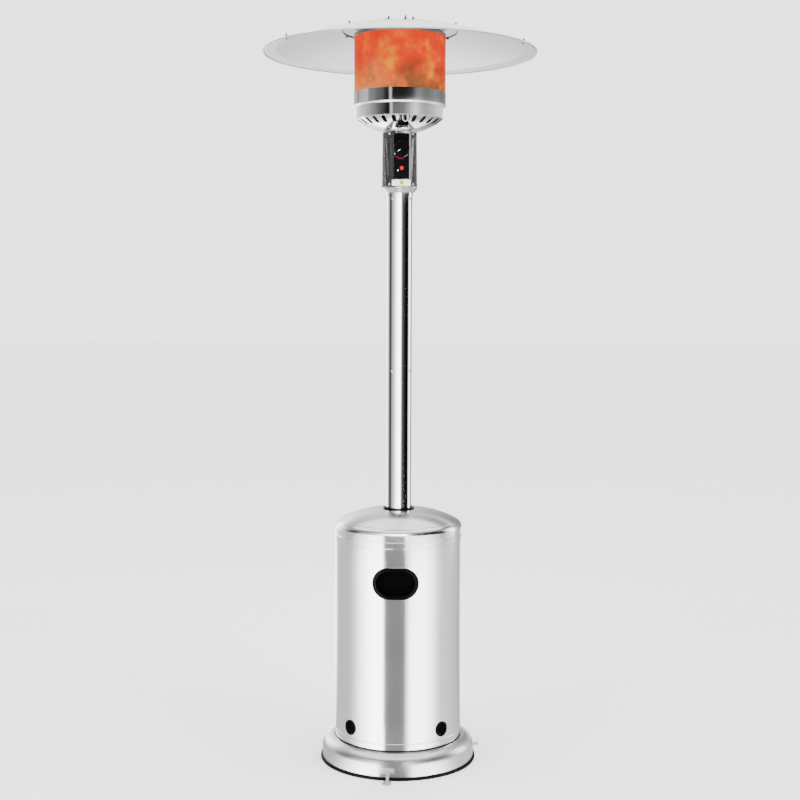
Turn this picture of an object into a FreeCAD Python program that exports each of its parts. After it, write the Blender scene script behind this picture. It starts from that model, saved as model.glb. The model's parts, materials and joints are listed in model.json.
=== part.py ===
"""Patio heater: a gas heater on a tall pole, with a round reflector on top.

Millimetres, +Z up. The origin is on the ground, on the axis of the pole, and -Y is the front.
Each sub-part is built where it stands and written to parts/NODE.step.
"""
import FreeCAD, Part
import math
import os

Vec = FreeCAD.Vector
ORIGIN = Vec(0, 0, 0)
UP = Vec(0, 0, 1)
OUT = Vec(1, 0, 0)

# ---- shared clearances and sheet thicknesses ---------------------------------------------------
FIT = 0.1            # between pieces of one body that seat on each other's curved faces
RUN = 0.3            # between pieces that move past each other, and round loose bolts
SLIDE_FIT = 0.06     # between a stem or button and its bore
SHEET = 0.8          # stainless sheet of the cover, the bands and the screens
PLATE = 4.0          # steel plate of the legs' feet, their upper tabs and the pole socket

# ---- the way each group is turned about the pole, in degrees from +X ---------------------------
HEAD_TURN = 6.5
COVER_TURN = -2.5
ANCHOR_ANGLES = (-97.0, 23.0, 143.0)
LEG_ANGLES = (120.0, -135.0, -30.0)
CYLINDER_TURN = 40.0
POLE_SCREW_ANGLES = (-124.0, -34.0, 56.0, 146.0)

# ---- base --------------------------------------------------------------------------------------
BASE_R = 231.0
BASE_WALL = 1.5
SKIRT_TOP_Z = 36.0
DECK_Z = 72.0        # where the cover rests
DECK_R = 200.0
STEP_R = 187.5       # the raised middle of the deck keeps the cover centred
PLATEAU_Z = 78.0
TRIM_R = 236.5
TRIM_IN_R = 223.0
TRIM_H = 8.0
TRIM_FLOOR = 4.0     # rubber under the skirt's edge
BASE_PLATE_T = 3.0
WEIGHT_R = 154.0
WEIGHT_IN_R = 50.0
WEIGHT_T = 20.0
SPACER_R = 8.0
FOOT_BOLT_R = 4.0
FOOT_BOLT_SIDE = 17.0

# ---- anchor brackets ---------------------------------------------------------------------------
ANCHOR_HOLE_R = 3.5
ANCHOR_HOLE_AT = 264.0
ANCHOR_FOOT_T = 3.0
ANCHOR_BAR_W = 38.0
ANCHOR_BAR_LOW = 20.0
ANCHOR_BAR_TOP = 38.0
ANCHOR_BAR_T = 2.2
ANCHOR_SCREW_DEG = 3.2

# ---- tank cover --------------------------------------------------------------------------------
COVER_R = 192.0
COVER_SEAM_Z = 160.0
COVER_TOP_Z = 714.0
COVER_LAP = 12.0
DOME_Z = COVER_TOP_Z + 53.0
DOME_WALL = 1.0
DOME_HOLE_R = 43.0
BEAD_Z = (COVER_TOP_Z - 38.0, COVER_TOP_Z - 21.0)
GROMMET_IN_R = 40.0
GROMMET_R = 47.2
GROMMET_SCREW_AT = 43.6
GROMMET_SCREW_ANGLES = (-148.0, 32.0)
CUP_W = 137.0
CUP_H = 93.0
CUP_FLAT = 50.0
CUP_RIM = 10.5       # width of the cup's rim
CUP_Z = COVER_TOP_Z - 141.0
CUP_DEPTH = 30.0
CUP_WALL = 2.0
VENT_R = 22.5
VENT_Z = 126.0
VENT_BARS = 4

# ---- gas cylinder ------------------------------------------------------------------------------
CYL_R = 152.5
CYL_WALL = 2.6
CYL_RING_R = 101.0
CYL_RING_H = 34.0
CYL_LOW_Z = PLATEAU_Z + 14.0
CYL_TOP_Z = COVER_TOP_Z - 282.0
CYL_DOME_H = 70.0
CYL_CROWN_R = 112.0
CYL_CROWN_H = 24.0
CYL_NECK_R = 15.0
GUARD_R = 106.0
GUARD_T = 3.0
GUARD_TOP_Z = CYL_TOP_Z + 103.0
GUARD_GAP_DEG = 120.0
VALVE_OUTLET_Z = CYL_TOP_Z + 42.0
HANDWHEEL_Z = CYL_TOP_Z + 80.0

# ---- legs and pole -----------------------------------------------------------------------------
LEG_AT = 174.0
LEG_R = 10.0
LEG_WALL = 1.5
LEG_TOP_R = 92.0
SOCKET_Z = COVER_TOP_Z - 30.0      # underside of the socket's flange
LEG_BEND_Z = SOCKET_Z - 84.0
LEG_TOP_Z = SOCKET_Z - 8.5
SOCKET_R = 76.0
SOCKET_H = 52.0
SOCKET_WALL = 3.0
SOCKET_BOLT_AT = 64.0
POLE_R = 38.1
POLE_WALL = 1.2
POLE_SEAM_Z = SOCKET_Z + 520.0
POLE_TOP_Z = POLE_SEAM_Z + 512.0
COUPLING_HALF = 50.0
COUPLING_WALL = 1.8
SEAM_SCREW_Z = POLE_SEAM_Z - 18.0
HEAD_SCREW_Z = POLE_TOP_Z - 16.0

# ---- heater head: housing, panel and controls --------------------------------------------------
COLLAR_LIP_R = 39.6
HOUSING_Z = POLE_TOP_Z + 18.0
HOUSING_TOP_Z = HOUSING_Z + 163.0
HOUSING_R_LOW = 53.2   # outside of the screens
HOUSING_R_TOP = 51.2
STRIP_W = 57.0
STRIP_T = 1.1
PANEL_W = 45.0
PANEL_LOW_Z = HOUSING_Z + 22.5
PANEL_TOP_Z = HOUSING_TOP_Z - 7.0
PANEL_FACE = 50.5      # distance of the panel's face from the axis
PANEL_T = 3.5
PANEL_R = 3.0
KNOB_Z = HOUSING_Z + 112.0
KNOB_R = 23.0
KNOB_H = 20.0
KNOB_BASE_H = 8.0
KNOB_GRIP_W = 11.0
KNOB_POINTS = 130.0    # degrees from straight up to the pointer, counterclockwise from the front
KNOB_TRAVEL = 4.0
KNOB_GAP = 0.8         # left behind the knob when it is pushed in
STEM_R = 4.0
STEM_L = 22.0
PLUNGER_L = 8.0
BUTTON_Z = HOUSING_Z + 54.0
BUTTON_R = 6.0
BUTTON_OUT = 8.0
BUTTON_TRAVEL = 5.0
BUTTON_DEEP = 12.0     # length of the button inside the igniter
LABEL_W = 56.0
LABEL_Z = (HOUSING_Z + 2.5, HOUSING_Z + 19.5)
SCREEN_SCREW_X = 35.0
FLANGE_T = 3.0

# ---- burner, emitter and reflector -------------------------------------------------------------
BOWL_FLOOR_Z = HOUSING_TOP_Z + FLANGE_T
BOWL_R = 127.5
BOWL_RIM_Z = BOWL_FLOOR_Z + 37.0
BOWL_WALL = 1.0
SLOT_COUNT = 24
SLOT_W = 13.0
SLOT_IN_R = 98.0
SLOT_OUT_R = BOWL_R - 2.5
LIGHT_HOLE_W = 31.0
LIGHT_HOLE_IN_R = 78.0
BAND_R = 128.7
BAND_LOW_Z = BOWL_RIM_Z - 1.0
BAND_STEP_Z = BAND_LOW_Z + 39.0
UPPER_BAND_R = 137.0
UPPER_BAND_TOP_Z = BAND_STEP_Z + 37.0
PAN_Z = BAND_STEP_Z - 20.0
EMITTER_TOP_Z = BAND_STEP_Z + 207.0
CAP_Z = EMITTER_TOP_Z + 4.0
CAP_H = 11.0
REFLECTOR_R = 406.5
RIM_BEAD_R = 2.6
RIM_BEAD_FLATS = 14
DISC_TOP_Z = CAP_Z + 25.0
DISC_R = 187.0
BRIM_R = 370.0
BRIM_Z = DISC_TOP_Z - 74.0
RIM_Z = BRIM_Z - 7.0
DISC_T = 1.0
PETAL_IN_R = 171.0
PETAL_T = 0.8
PETAL_GAP_DEG = 0.05
SEAM_ANGLES = (-144.0, -24.0, 96.0)
LAP_DEG = 2.2
INNER_BOLT_AT = 178.0
OUTER_BOLT_AT = 388.0
STUD_AT = 42.0
STUD_R = 3.0
STUD_TOP_Z = DISC_TOP_Z + 23.0
BOLT_R = 2.5


# ---- outlines and solids -----------------------------------------------------------------------
def path_edges(points):
    """Edges in the XZ plane; a point with a third item is the middle of an arc."""
    spots = [Vec(p[0], 0, p[1]) for p in points]
    edges = []
    i = 0
    while i < len(points) - 1:
        if len(points[i + 1]) == 3:
            edges.append(Part.Arc(spots[i], spots[i + 1], spots[i + 2]).toShape())
            i += 2
        else:
            edges.append(Part.makeLine(spots[i], spots[i + 1]))
            i += 1
    return edges


def turned(points, start=0.0, sweep=360.0):
    """Solid turned about the pole's axis from a closed outline of (radius, height) points."""
    face = Part.Face(Part.Wire(path_edges(points + [points[0]])))
    solid = face.revolve(ORIGIN, UP, sweep)
    return spin(solid, start)


def left_of(way):
    """Unit normal to the left of a direction in the XZ plane, seen with X right and Z up."""
    return Vec(-way.z, 0, way.x).normalize()


def side_normals(first, middle, last):
    """Left-hand normals at the start, middle and end of a line, or of an arc if it has a middle."""
    if middle is None:
        return [left_of(last.sub(first))] * 3
    centre = Part.Arc(first, middle, last).toShape().Curve.Center
    left_turn = left_of(middle.sub(first)).dot(last.sub(middle)) > 0
    return [(centre.sub(p) if left_turn else p.sub(centre)).normalize() for p in (first, middle, last)]


def offset_outline(points, distance):
    """Outline beside an open one, with mitred corners and arcs about the same centres."""
    spots = [Vec(p[0], 0, p[1]) for p in points]
    normals = [[] for _ in points]
    i = 0
    while i < len(points) - 1:
        if len(points[i + 1]) == 3:
            start, middle, end = side_normals(spots[i], spots[i + 1], spots[i + 2])
            normals[i + 1].append(middle)
            step = 2
        else:
            start, middle, end = side_normals(spots[i], None, spots[i + 1])
            step = 1
        normals[i].append(start)
        normals[i + step].append(end)
        i += step
    beside = []
    for point, spot, sides in zip(points, spots, normals):
        mitre = sides[0].add(sides[-1])
        moved_spot = spot.add(mitre * (distance / (1 + sides[0].dot(sides[-1]))))
        beside.append((moved_spot.x, moved_spot.z) + tuple(point[2:]))
    return beside


def turned_sheet(points, thickness, start=0.0, sweep=360.0):
    """Sheet turned about the axis; its thickness lies left of the way the outline runs, or right if < 0."""
    beside = offset_outline(points, thickness)
    return turned(points + beside[::-1], start, sweep)


def spin(shape, degrees):
    """Copy of a shape turned about the pole's axis."""
    copy = shape.copy()
    copy.rotate(ORIGIN, UP, degrees)
    return copy


def moved(shape, x=0.0, y=0.0, z=0.0):
    """Copy of a shape shifted."""
    copy = shape.copy()
    copy.translate(Vec(x, y, z))
    return copy


def crown_middle(edge_r, edge_z, rise):
    """Middle point of a domed arc from an edge up, or down if rise < 0, to the axis."""
    radius = (edge_r ** 2 + rise ** 2) / (2 * abs(rise))
    drop = radius - math.sqrt(radius ** 2 - (edge_r / 2) ** 2)
    return (edge_r / 2, edge_z + rise - math.copysign(drop, rise), "arc")


def ring(r_out, r_in, z0, z1):
    """Plain ring about the axis."""
    outer = Part.makeCylinder(r_out, z1 - z0, Vec(0, 0, z0))
    return outer.cut(Part.makeCylinder(r_in, z1 - z0 + 2, Vec(0, 0, z0 - 1)))


def disc(r, z0, z1, x=0.0, y=0.0):
    """Upright cylinder."""
    return Part.makeCylinder(r, z1 - z0, Vec(x, y, z0))


def rod(start, end, r):
    """Cylinder between two points."""
    way = end.sub(start)
    return Part.makeCylinder(r, way.Length, start, way)


def block(x0, x1, y0, y1, z0, z1):
    """Box between two corners."""
    return Part.makeBox(x1 - x0, y1 - y0, z1 - z0, Vec(x0, y0, z0))


def fused(shapes):
    """One solid from shapes that overlap."""
    return shapes[0].multiFuse(shapes[1:]).removeSplitter()


def hexagon(flats, z0, z1):
    """Upright hexagonal prism about the Z axis."""
    corner = flats / math.sqrt(3)
    spots = [Vec(corner * math.cos(math.radians(60 * i)), corner * math.sin(math.radians(60 * i)), z0)
             for i in range(6)]
    return Part.Face(Part.makePolygon(spots + [spots[0]])).extrude(Vec(0, 0, z1 - z0))


def bend_radii(points):
    """Arc radius at each corner of a route: 0.45 of its shorter run over the tangent of half the turn."""
    radii = []
    for before, corner, after in zip(points, points[1:], points[2:]):
        inward = corner.sub(before)
        outward = after.sub(corner)
        turn = inward.getAngle(outward)
        shorter = min(inward.Length, outward.Length)
        radii.append(0.45 * shorter / math.tan(turn / 2))
    return radii


def route_wire(points, radii):
    """Straight runs joined by tangent arcs."""
    edges = []
    start = points[0]
    for before, corner, after, radius in zip(points, points[1:], points[2:], radii):
        inward = corner.sub(before).normalize()
        outward = after.sub(corner).normalize()
        turn = inward.getAngle(outward)
        reach = radius * math.tan(turn / 2)
        first = corner.sub(inward * reach)
        last = corner.add(outward * reach)
        middle = corner.add((outward.sub(inward)).normalize() * (radius / math.cos(turn / 2) - radius))
        if first.distanceToPoint(start) > 1e-3:
            edges.append(Part.LineSegment(start, first).toShape())
        edges.append(Part.Arc(first, middle, last).toShape())
        start = last
    edges.append(Part.LineSegment(start, points[-1]).toShape())
    return Part.Wire(edges)


def pipe_along(points, radii, r):
    """Round solid bar along a route."""
    spine = route_wire(points, radii)
    heading = points[1].sub(points[0])
    circle = Part.Wire(Part.makeCircle(r, points[0], heading))
    return spine.makePipeShell([circle], True, False)


def upright_bolt(r, flats, head_z, end_z, nut_z, nut_h, head_h):
    """Hexagon bolt on the Z axis with its nut, head up."""
    pieces = [disc(r, end_z, head_z + head_h / 2),
              hexagon(flats, head_z, head_z + head_h),
              hexagon(flats, nut_z, nut_z + nut_h)]
    return fused(pieces)


def pan_screw(r, head_r, head_h, length):
    """Cross-head screw along +X: the head's seat is at the origin and the shank runs to -X."""
    profile = [(0, -length), (r, -length), (r, 0), (head_r, 0), (head_r, head_h * 0.35),
               (head_r * 0.62, head_h * 0.9, "arc"), (0, head_h)]
    screw = turned(profile)
    bar = head_r * 0.62
    slot = head_r * 0.11
    for cross in (block(-bar, bar, -slot, slot, head_h * 0.55, head_h + 1),
                  block(-slot, slot, -bar, bar, head_h * 0.55, head_h + 1)):
        screw = screw.cut(cross)
    screw.rotate(ORIGIN, Vec(0, 1, 0), 90)
    return screw


def radial_screw(seat_r, z, angle, r, head_r, head_h, length):
    """Cross-head screw whose head sits on a round wall."""
    return spin(moved(pan_screw(r, head_r, head_h, length), x=seat_r, z=z), angle)


def group(shapes):
    """Separate solids that share one node."""
    return Part.makeCompound(shapes)


# ---- base --------------------------------------------------------------------------------------
def foot_bolt_spots():
    """Places of the bolts through the legs' feet."""
    at = math.hypot(LEG_AT - 7, FOOT_BOLT_SIDE)
    side = math.degrees(math.atan2(FOOT_BOLT_SIDE, LEG_AT - 7))
    return [(at, angle + s * side) for angle in LEG_ANGLES for s in (-1, 1)]


def bolt_holes(shape, spots, r):
    """Shape with an upright hole at each (radius, angle)."""
    tall = shape.BoundBox
    tools = [spin(disc(r, tall.ZMin - 1, tall.ZMax + 1, x=at), angle) for at, angle in spots]
    return shape.cut(Part.makeCompound(tools))


def anchor_screw_angles():
    return [angle + s * ANCHOR_SCREW_DEG for angle in ANCHOR_ANGLES for s in (-1, 1)]


def make_base_pan():
    """Pressed stainless pan: skirt, round shoulder, deck and raised middle."""
    outline = [(BASE_R, TRIM_FLOOR), (BASE_R, SKIRT_TOP_Z), (BASE_R - 9.5, DECK_Z - 10.8, "arc"),
               (DECK_R, DECK_Z), (STEP_R + 1.5, DECK_Z), (STEP_R - 0.5, PLATEAU_Z), (0, PLATEAU_Z)]
    pan = turned_sheet(outline, BASE_WALL)
    pan = bolt_holes(pan, foot_bolt_spots(), FOOT_BOLT_R + RUN)
    screw_z = (ANCHOR_BAR_LOW + ANCHOR_BAR_TOP) / 2
    for angle in anchor_screw_angles():
        hole = spin(rod(Vec(BASE_R - 6, 0, screw_z), Vec(BASE_R + 6, 0, screw_z), 2 + RUN), angle)
        pan = pan.cut(hole)
    return pan


def make_base_rim_trim():
    """Rubber ring under the pan; the skirt's edge stands in its groove."""
    slot_in = BASE_R - BASE_WALL - RUN
    slot_out = BASE_R + RUN
    outline = [(TRIM_IN_R, 0), (TRIM_R - 1, 0), (TRIM_R, 1), (TRIM_R, TRIM_H - 3),
               (TRIM_R - 0.9, TRIM_H - 0.9, "arc"), (TRIM_R - 3, TRIM_H), (slot_out, TRIM_H),
               (slot_out, TRIM_FLOOR), (slot_in, TRIM_FLOOR), (slot_in, TRIM_H), (TRIM_IN_R, TRIM_H)]
    return turned(outline)


def make_base_plate():
    plate = disc(BASE_R - BASE_WALL - 2 * RUN, TRIM_H, TRIM_H + BASE_PLATE_T)
    return bolt_holes(plate, foot_bolt_spots(), FOOT_BOLT_R + RUN)


def make_base_weight():
    low = TRIM_H + BASE_PLATE_T
    return ring(WEIGHT_R, WEIGHT_IN_R, low, low + WEIGHT_T)


def make_deck_spacers():
    """Tubes that carry the deck at each foot bolt."""
    tube = ring(SPACER_R, FOOT_BOLT_R + RUN, TRIM_H + BASE_PLATE_T, PLATEAU_Z - BASE_WALL)
    return group([spin(moved(tube, x=at), angle) for at, angle in foot_bolt_spots()])


def make_foot_bolts():
    nut_h = 5.0
    bolt = upright_bolt(FOOT_BOLT_R, 13, PLATEAU_Z + PLATE, TRIM_H - nut_h - 1, TRIM_H - nut_h, nut_h, 5.3)
    return group([spin(moved(bolt, x=at), angle) for at, angle in foot_bolt_spots()])


def make_anchor_bracket():
    """T-shaped floor bracket along +X: a bar on the skirt, a ribbed stem and a foot with a hole."""
    seat = BASE_R + FIT
    face = seat + ANCHOR_BAR_T
    bar = ring(face, seat, ANCHOR_BAR_LOW, ANCHOR_BAR_TOP)
    half = ANCHOR_BAR_W / 2
    bar = bar.common(block(0, BASE_R + 50, -half, half, 0, ANCHOR_BAR_TOP + 5))
    step = TRIM_R + 1
    stem = Part.Face(Part.Wire(path_edges([
        (seat, ANCHOR_BAR_LOW), (step, TRIM_H + 1), (step, 0), (ANCHOR_HOLE_AT - 6, 0),
        (ANCHOR_HOLE_AT - 6, ANCHOR_FOOT_T), (step + 3, ANCHOR_FOOT_T), (step + 3, TRIM_H + 3),
        (face, ANCHOR_BAR_TOP - 8), (seat, ANCHOR_BAR_TOP - 8), (seat, ANCHOR_BAR_LOW)])))
    stem = moved(stem.extrude(Vec(0, 10, 0)), y=-5)
    rib = Part.Face(Part.Wire(path_edges([
        (step + 1, ANCHOR_FOOT_T - 1), (step + 17, ANCHOR_FOOT_T - 1), (face + 1, ANCHOR_BAR_TOP - 12),
        (face - 1, ANCHOR_BAR_TOP - 12), (step + 1, ANCHOR_FOOT_T - 1)])))
    rib = moved(rib.extrude(Vec(0, 3, 0)), y=-1.5)
    foot = block(step + 6, ANCHOR_HOLE_AT, -10, 10, 0, ANCHOR_FOOT_T)
    pad = disc(12, 0, ANCHOR_FOOT_T, x=ANCHOR_HOLE_AT)
    bracket = fused([bar, stem, rib, foot, pad])
    bracket = bracket.cut(disc(ANCHOR_HOLE_R, -1, ANCHOR_FOOT_T + 1, x=ANCHOR_HOLE_AT))
    screw_z = (ANCHOR_BAR_LOW + ANCHOR_BAR_TOP) / 2
    for s in (-1, 1):
        hole = rod(Vec(seat - 3, 0, screw_z), Vec(face + 3, 0, screw_z), 2 + RUN)
        bracket = bracket.cut(spin(hole, s * ANCHOR_SCREW_DEG))
    return bracket


def make_anchor_brackets():
    bracket = make_anchor_bracket()
    return group([spin(bracket, angle) for angle in ANCHOR_ANGLES])


def make_anchor_screws():
    seat = BASE_R + FIT + ANCHOR_BAR_T + 0.05
    screw_z = (ANCHOR_BAR_LOW + ANCHOR_BAR_TOP) / 2
    return group([radial_screw(seat, screw_z, angle, 2, 4, 2.2, 10) for angle in anchor_screw_angles()])


# ---- legs, socket and pole ---------------------------------------------------------------------
def make_leg():
    """Bent steel tube along +X with a foot plate and an upper tab."""
    route = [Vec(LEG_AT, 0, PLATEAU_Z + 2), Vec(LEG_AT, 0, LEG_BEND_Z), Vec(LEG_TOP_R, 0, LEG_TOP_Z)]
    tube = pipe_along(route, [60], LEG_R).cut(pipe_along(route, [60], LEG_R - LEG_WALL))
    foot = block(LEG_AT - 22, LEG_AT + LEG_R, -28, 28, PLATEAU_Z, PLATEAU_Z + PLATE)
    tab = block(SOCKET_BOLT_AT - 12, LEG_TOP_R + 12, -13, 13, SOCKET_Z - PLATE, SOCKET_Z)
    leg = fused([tube, foot, tab])
    holes = [disc(FOOT_BOLT_R + RUN, PLATEAU_Z - 1, PLATEAU_Z + PLATE + 1, LEG_AT - 7, s * FOOT_BOLT_SIDE)
             for s in (-1, 1)]
    holes.append(disc(FOOT_BOLT_R + RUN, SOCKET_Z - PLATE - 1, SOCKET_Z + 1, x=SOCKET_BOLT_AT))
    return leg.cut(Part.makeCompound(holes))


def make_leg_top_bolts():
    nut_h = 5.0
    low = SOCKET_Z - PLATE - nut_h
    bolt = upright_bolt(FOOT_BOLT_R, 13, SOCKET_Z + PLATE, low - 4, low, nut_h, 5.3)
    return group([spin(moved(bolt, x=SOCKET_BOLT_AT), angle) for angle in LEG_ANGLES])


def make_post_socket():
    """Flange on the legs with a sleeve round the pole's foot and three ribs."""
    low = SOCKET_Z + PLATE
    flange = disc(SOCKET_R, SOCKET_Z, low)
    sleeve_r = POLE_R + FIT
    sleeve = ring(sleeve_r + SOCKET_WALL, sleeve_r, low - 1, low + SOCKET_H)
    rib = Part.Face(Part.Wire(path_edges([
        (sleeve_r + 1, low - 1), (SOCKET_R - 6, low - 1), (SOCKET_R - 6, low + 4),
        (sleeve_r + 1, low + SOCKET_H - 12), (sleeve_r + 1, low - 1)])))
    rib = moved(rib.extrude(Vec(0, 4, 0)), y=-2)
    ribs = [spin(rib, angle + 180) for angle in LEG_ANGLES]
    socket = fused([flange, sleeve] + ribs)
    socket = socket.cut(disc(14, SOCKET_Z - 1, low + 1))
    socket = bolt_holes(socket, [(SOCKET_BOLT_AT, angle) for angle in LEG_ANGLES], FOOT_BOLT_R + RUN)
    for angle in LEG_ANGLES:
        hole = rod(Vec(POLE_R - 5, 0, low + SOCKET_H - 8), Vec(POLE_R + 9, 0, low + SOCKET_H - 8), 2 + RUN)
        socket = socket.cut(spin(hole, angle))
    return socket


def make_socket_screws():
    seat = POLE_R + FIT + SOCKET_WALL + 0.05
    z = SOCKET_Z + PLATE + SOCKET_H - 8
    return group([radial_screw(seat, z, angle, 2, 4, 2.2, 9) for angle in LEG_ANGLES])


def pole_tube(z0, z1, screws):
    """Length of the pole with a round hole for each (height, angle) screw."""
    tube = ring(POLE_R, POLE_R - POLE_WALL, z0, z1)
    for z, angle in screws:
        tube = tube.cut(spin(rod(Vec(POLE_R - 5, 0, z), Vec(POLE_R + 5, 0, z), 2 + RUN), angle))
    return tube


def make_pole_lower():
    low = SOCKET_Z + PLATE
    screws = [(low + SOCKET_H - 8, angle) for angle in LEG_ANGLES]
    screws += [(SEAM_SCREW_Z, angle) for angle in POLE_SCREW_ANGLES]
    return pole_tube(low, POLE_SEAM_Z, screws)


def make_pole_upper():
    return pole_tube(POLE_SEAM_Z, POLE_TOP_Z, [(HEAD_SCREW_Z, angle) for angle in POLE_SCREW_ANGLES])


def make_pole_coupling():
    """Sleeve inside the joint of the two pole lengths."""
    outer = POLE_R - POLE_WALL - FIT
    sleeve = ring(outer, outer - COUPLING_WALL, POLE_SEAM_Z - COUPLING_HALF, POLE_SEAM_Z + COUPLING_HALF)
    for angle in POLE_SCREW_ANGLES:
        sleeve = sleeve.cut(spin(rod(Vec(outer - 6, 0, SEAM_SCREW_Z), Vec(outer + 4, 0, SEAM_SCREW_Z),
                                     2 + RUN), angle))
    return sleeve


def pole_screws(z):
    """Low-headed screws round the pole, flat enough for the cover's ring to pass."""
    return group([radial_screw(POLE_R + 0.05, z, angle, 2, 3.6, 1.2, 6) for angle in POLE_SCREW_ANGLES])


# ---- gas cylinder ------------------------------------------------------------------------------
def cylinder_end(tip_z, way, grow=0.0):
    """Half outline of a dished end, from the wall to the axis; way is 1 at the top and -1 at the foot."""
    crown_z = tip_z - way * (CYL_CROWN_H - grow)
    knee_z = tip_z - way * CYL_DOME_H
    mid_z = tip_z - way * (CYL_DOME_H * 0.53 - grow)
    return [(CYL_R + grow, knee_z), (CYL_R * 0.93 + grow, mid_z, "arc"), (CYL_CROWN_R, crown_z),
            crown_middle(CYL_CROWN_R, crown_z, way * CYL_CROWN_H), (0, tip_z + way * grow)]


def make_cylinder_body():
    """Welded steel shell with two dished ends and a threaded neck at the top."""
    shell = turned_sheet(cylinder_end(CYL_LOW_Z, -1), -CYL_WALL)
    top = turned_sheet(cylinder_end(CYL_TOP_Z, 1), CYL_WALL)
    wall = ring(CYL_R, CYL_R - CYL_WALL, CYL_LOW_Z + CYL_DOME_H - 3, CYL_TOP_Z - CYL_DOME_H + 3)
    neck = disc(CYL_NECK_R, CYL_TOP_Z - 6, CYL_TOP_Z + 8)
    body = fused([shell, wall, top, neck])
    return body.cut(disc(CYL_NECK_R - CYL_WALL, CYL_TOP_Z - 20, CYL_TOP_Z + 10))


def cylinder_envelope():
    """The cylinder's outside with a seat's clearance, to trim what is welded to it."""
    low_end = cylinder_end(CYL_LOW_Z, -1, FIT)
    top_end = cylinder_end(CYL_TOP_Z, 1, FIT)
    return turned(low_end[::-1] + top_end)


def make_cylinder_foot_ring():
    """Rolled foot ring under the cylinder, trimmed to its lower end."""
    foot = ring(CYL_RING_R, CYL_RING_R - 3, PLATEAU_Z, PLATEAU_Z + CYL_RING_H)
    return foot.cut(cylinder_envelope())


def make_cylinder_guard():
    """Rolled collar that guards the valve, open on the outlet's side, with hand slots at the back."""
    z0 = CYL_TOP_Z - CYL_CROWN_H
    sweep = 360 - GUARD_GAP_DEG
    outline = [(GUARD_R - GUARD_T, z0), (GUARD_R, z0), (GUARD_R, GUARD_TOP_Z - 4),
               (GUARD_R + 3, GUARD_TOP_Z - 1.2, "arc"), (GUARD_R, GUARD_TOP_Z),
               (GUARD_R - GUARD_T, GUARD_TOP_Z - 1)]
    collar = turned(outline, CYLINDER_TURN + GUARD_GAP_DEG / 2, sweep)
    for side in (140, 180, 220):
        slot = block(GUARD_R - 12, GUARD_R + 12, -24, 24, GUARD_TOP_Z - 46, GUARD_TOP_Z - 16)
        slot = fused([slot] + [rod(Vec(GUARD_R - 12, y, GUARD_TOP_Z - 31),
                                   Vec(GUARD_R + 12, y, GUARD_TOP_Z - 31), 15) for y in (-24, 24)])
        collar = collar.cut(spin(slot, CYLINDER_TURN + side))
    return collar.cut(cylinder_envelope())


def make_cylinder_valve():
    """Brass valve: neck plug, body and a side outlet."""
    plug = disc(CYL_NECK_R - CYL_WALL - FIT, CYL_TOP_Z - 10, CYL_TOP_Z + 10)
    body = disc(16, CYL_TOP_Z + 8, VALVE_OUTLET_Z + 18)
    bonnet = hexagon(24, VALVE_OUTLET_Z + 16, VALVE_OUTLET_Z + 27)
    outlet = rod(Vec(0, 0, VALVE_OUTLET_Z), Vec(42, 0, VALVE_OUTLET_Z), 12)
    relief = rod(Vec(0, 0, VALVE_OUTLET_Z), Vec(-26, 0, VALVE_OUTLET_Z), 8)
    valve = fused([plug, body, bonnet, spin(outlet, CYLINDER_TURN), spin(relief, CYLINDER_TURN)])
    bore = disc(4.5 + RUN, VALVE_OUTLET_Z + 12, VALVE_OUTLET_Z + 28)
    return valve.cut(bore)


def make_handwheel():
    """Lobed handwheel with its spindle in the valve."""
    hub = disc(13, HANDWHEEL_Z - 6, HANDWHEEL_Z + 7)
    plate = disc(27, HANDWHEEL_Z - 4, HANDWHEEL_Z + 4)
    lobes = [spin(disc(8, HANDWHEEL_Z - 5, HANDWHEEL_Z + 5, x=24), 72 * i) for i in range(5)]
    spindle = disc(4.5, VALVE_OUTLET_Z + 13, HANDWHEEL_Z)
    return fused([plate, hub, spindle] + lobes)


def make_coupling_nut():
    """Hand nut that screws onto the valve's outlet; its front edge is ribbed for the fingers."""
    shell = Part.makeCylinder(17, 30, Vec(30, 0, VALVE_OUTLET_Z), OUT)
    shell = shell.cut(Part.makeCylinder(12 + FIT, 14, Vec(29, 0, VALVE_OUTLET_Z), OUT))
    shell = shell.cut(Part.makeCylinder(5 + FIT, 40, Vec(29, 0, VALVE_OUTLET_Z), OUT))
    grips = []
    for i in range(12):
        groove = Part.makeCylinder(2, 26, Vec(32, 0, VALVE_OUTLET_Z + 18), OUT)
        groove.rotate(Vec(0, 0, VALVE_OUTLET_Z), OUT, 30 * i)
        grips.append(groove)
    return spin(shell.cut(Part.makeCompound(grips)), CYLINDER_TURN)


def make_regulator():
    """Round gas regulator with its inlet stem and hose barb."""
    centre = Vec(94, 0, VALVE_OUTLET_Z)
    drum = turned([(0, -16), (24, -16), (31, -11), (32, -3), (32, 3), (31, 9), (23, 14), (14, 18), (0, 18)])
    drum.translate(centre)
    stem = rod(Vec(46, 0, VALVE_OUTLET_Z), Vec(70, 0, VALVE_OUTLET_Z), 5)
    barb = rod(centre, Vec(94, 46, VALVE_OUTLET_Z), 7)
    return spin(fused([drum, stem, barb]), CYLINDER_TURN)


# ---- gas hose ----------------------------------------------------------------------------------
HOSE_R = 5.0
HOSE_TOP_Z = KNOB_Z - 24.0
HOSE_POINTS = [(94, 46, VALVE_OUTLET_Z), (94, 88, VALVE_OUTLET_Z), (78, 118, VALVE_OUTLET_Z + 38),
               (38, 104, VALVE_OUTLET_Z + 92), (8, 56, VALVE_OUTLET_Z + 138),
               (0, 10, SOCKET_Z - 34), (0, 0, SOCKET_Z + 26), (0, 0, HOSE_TOP_Z)]


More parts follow.
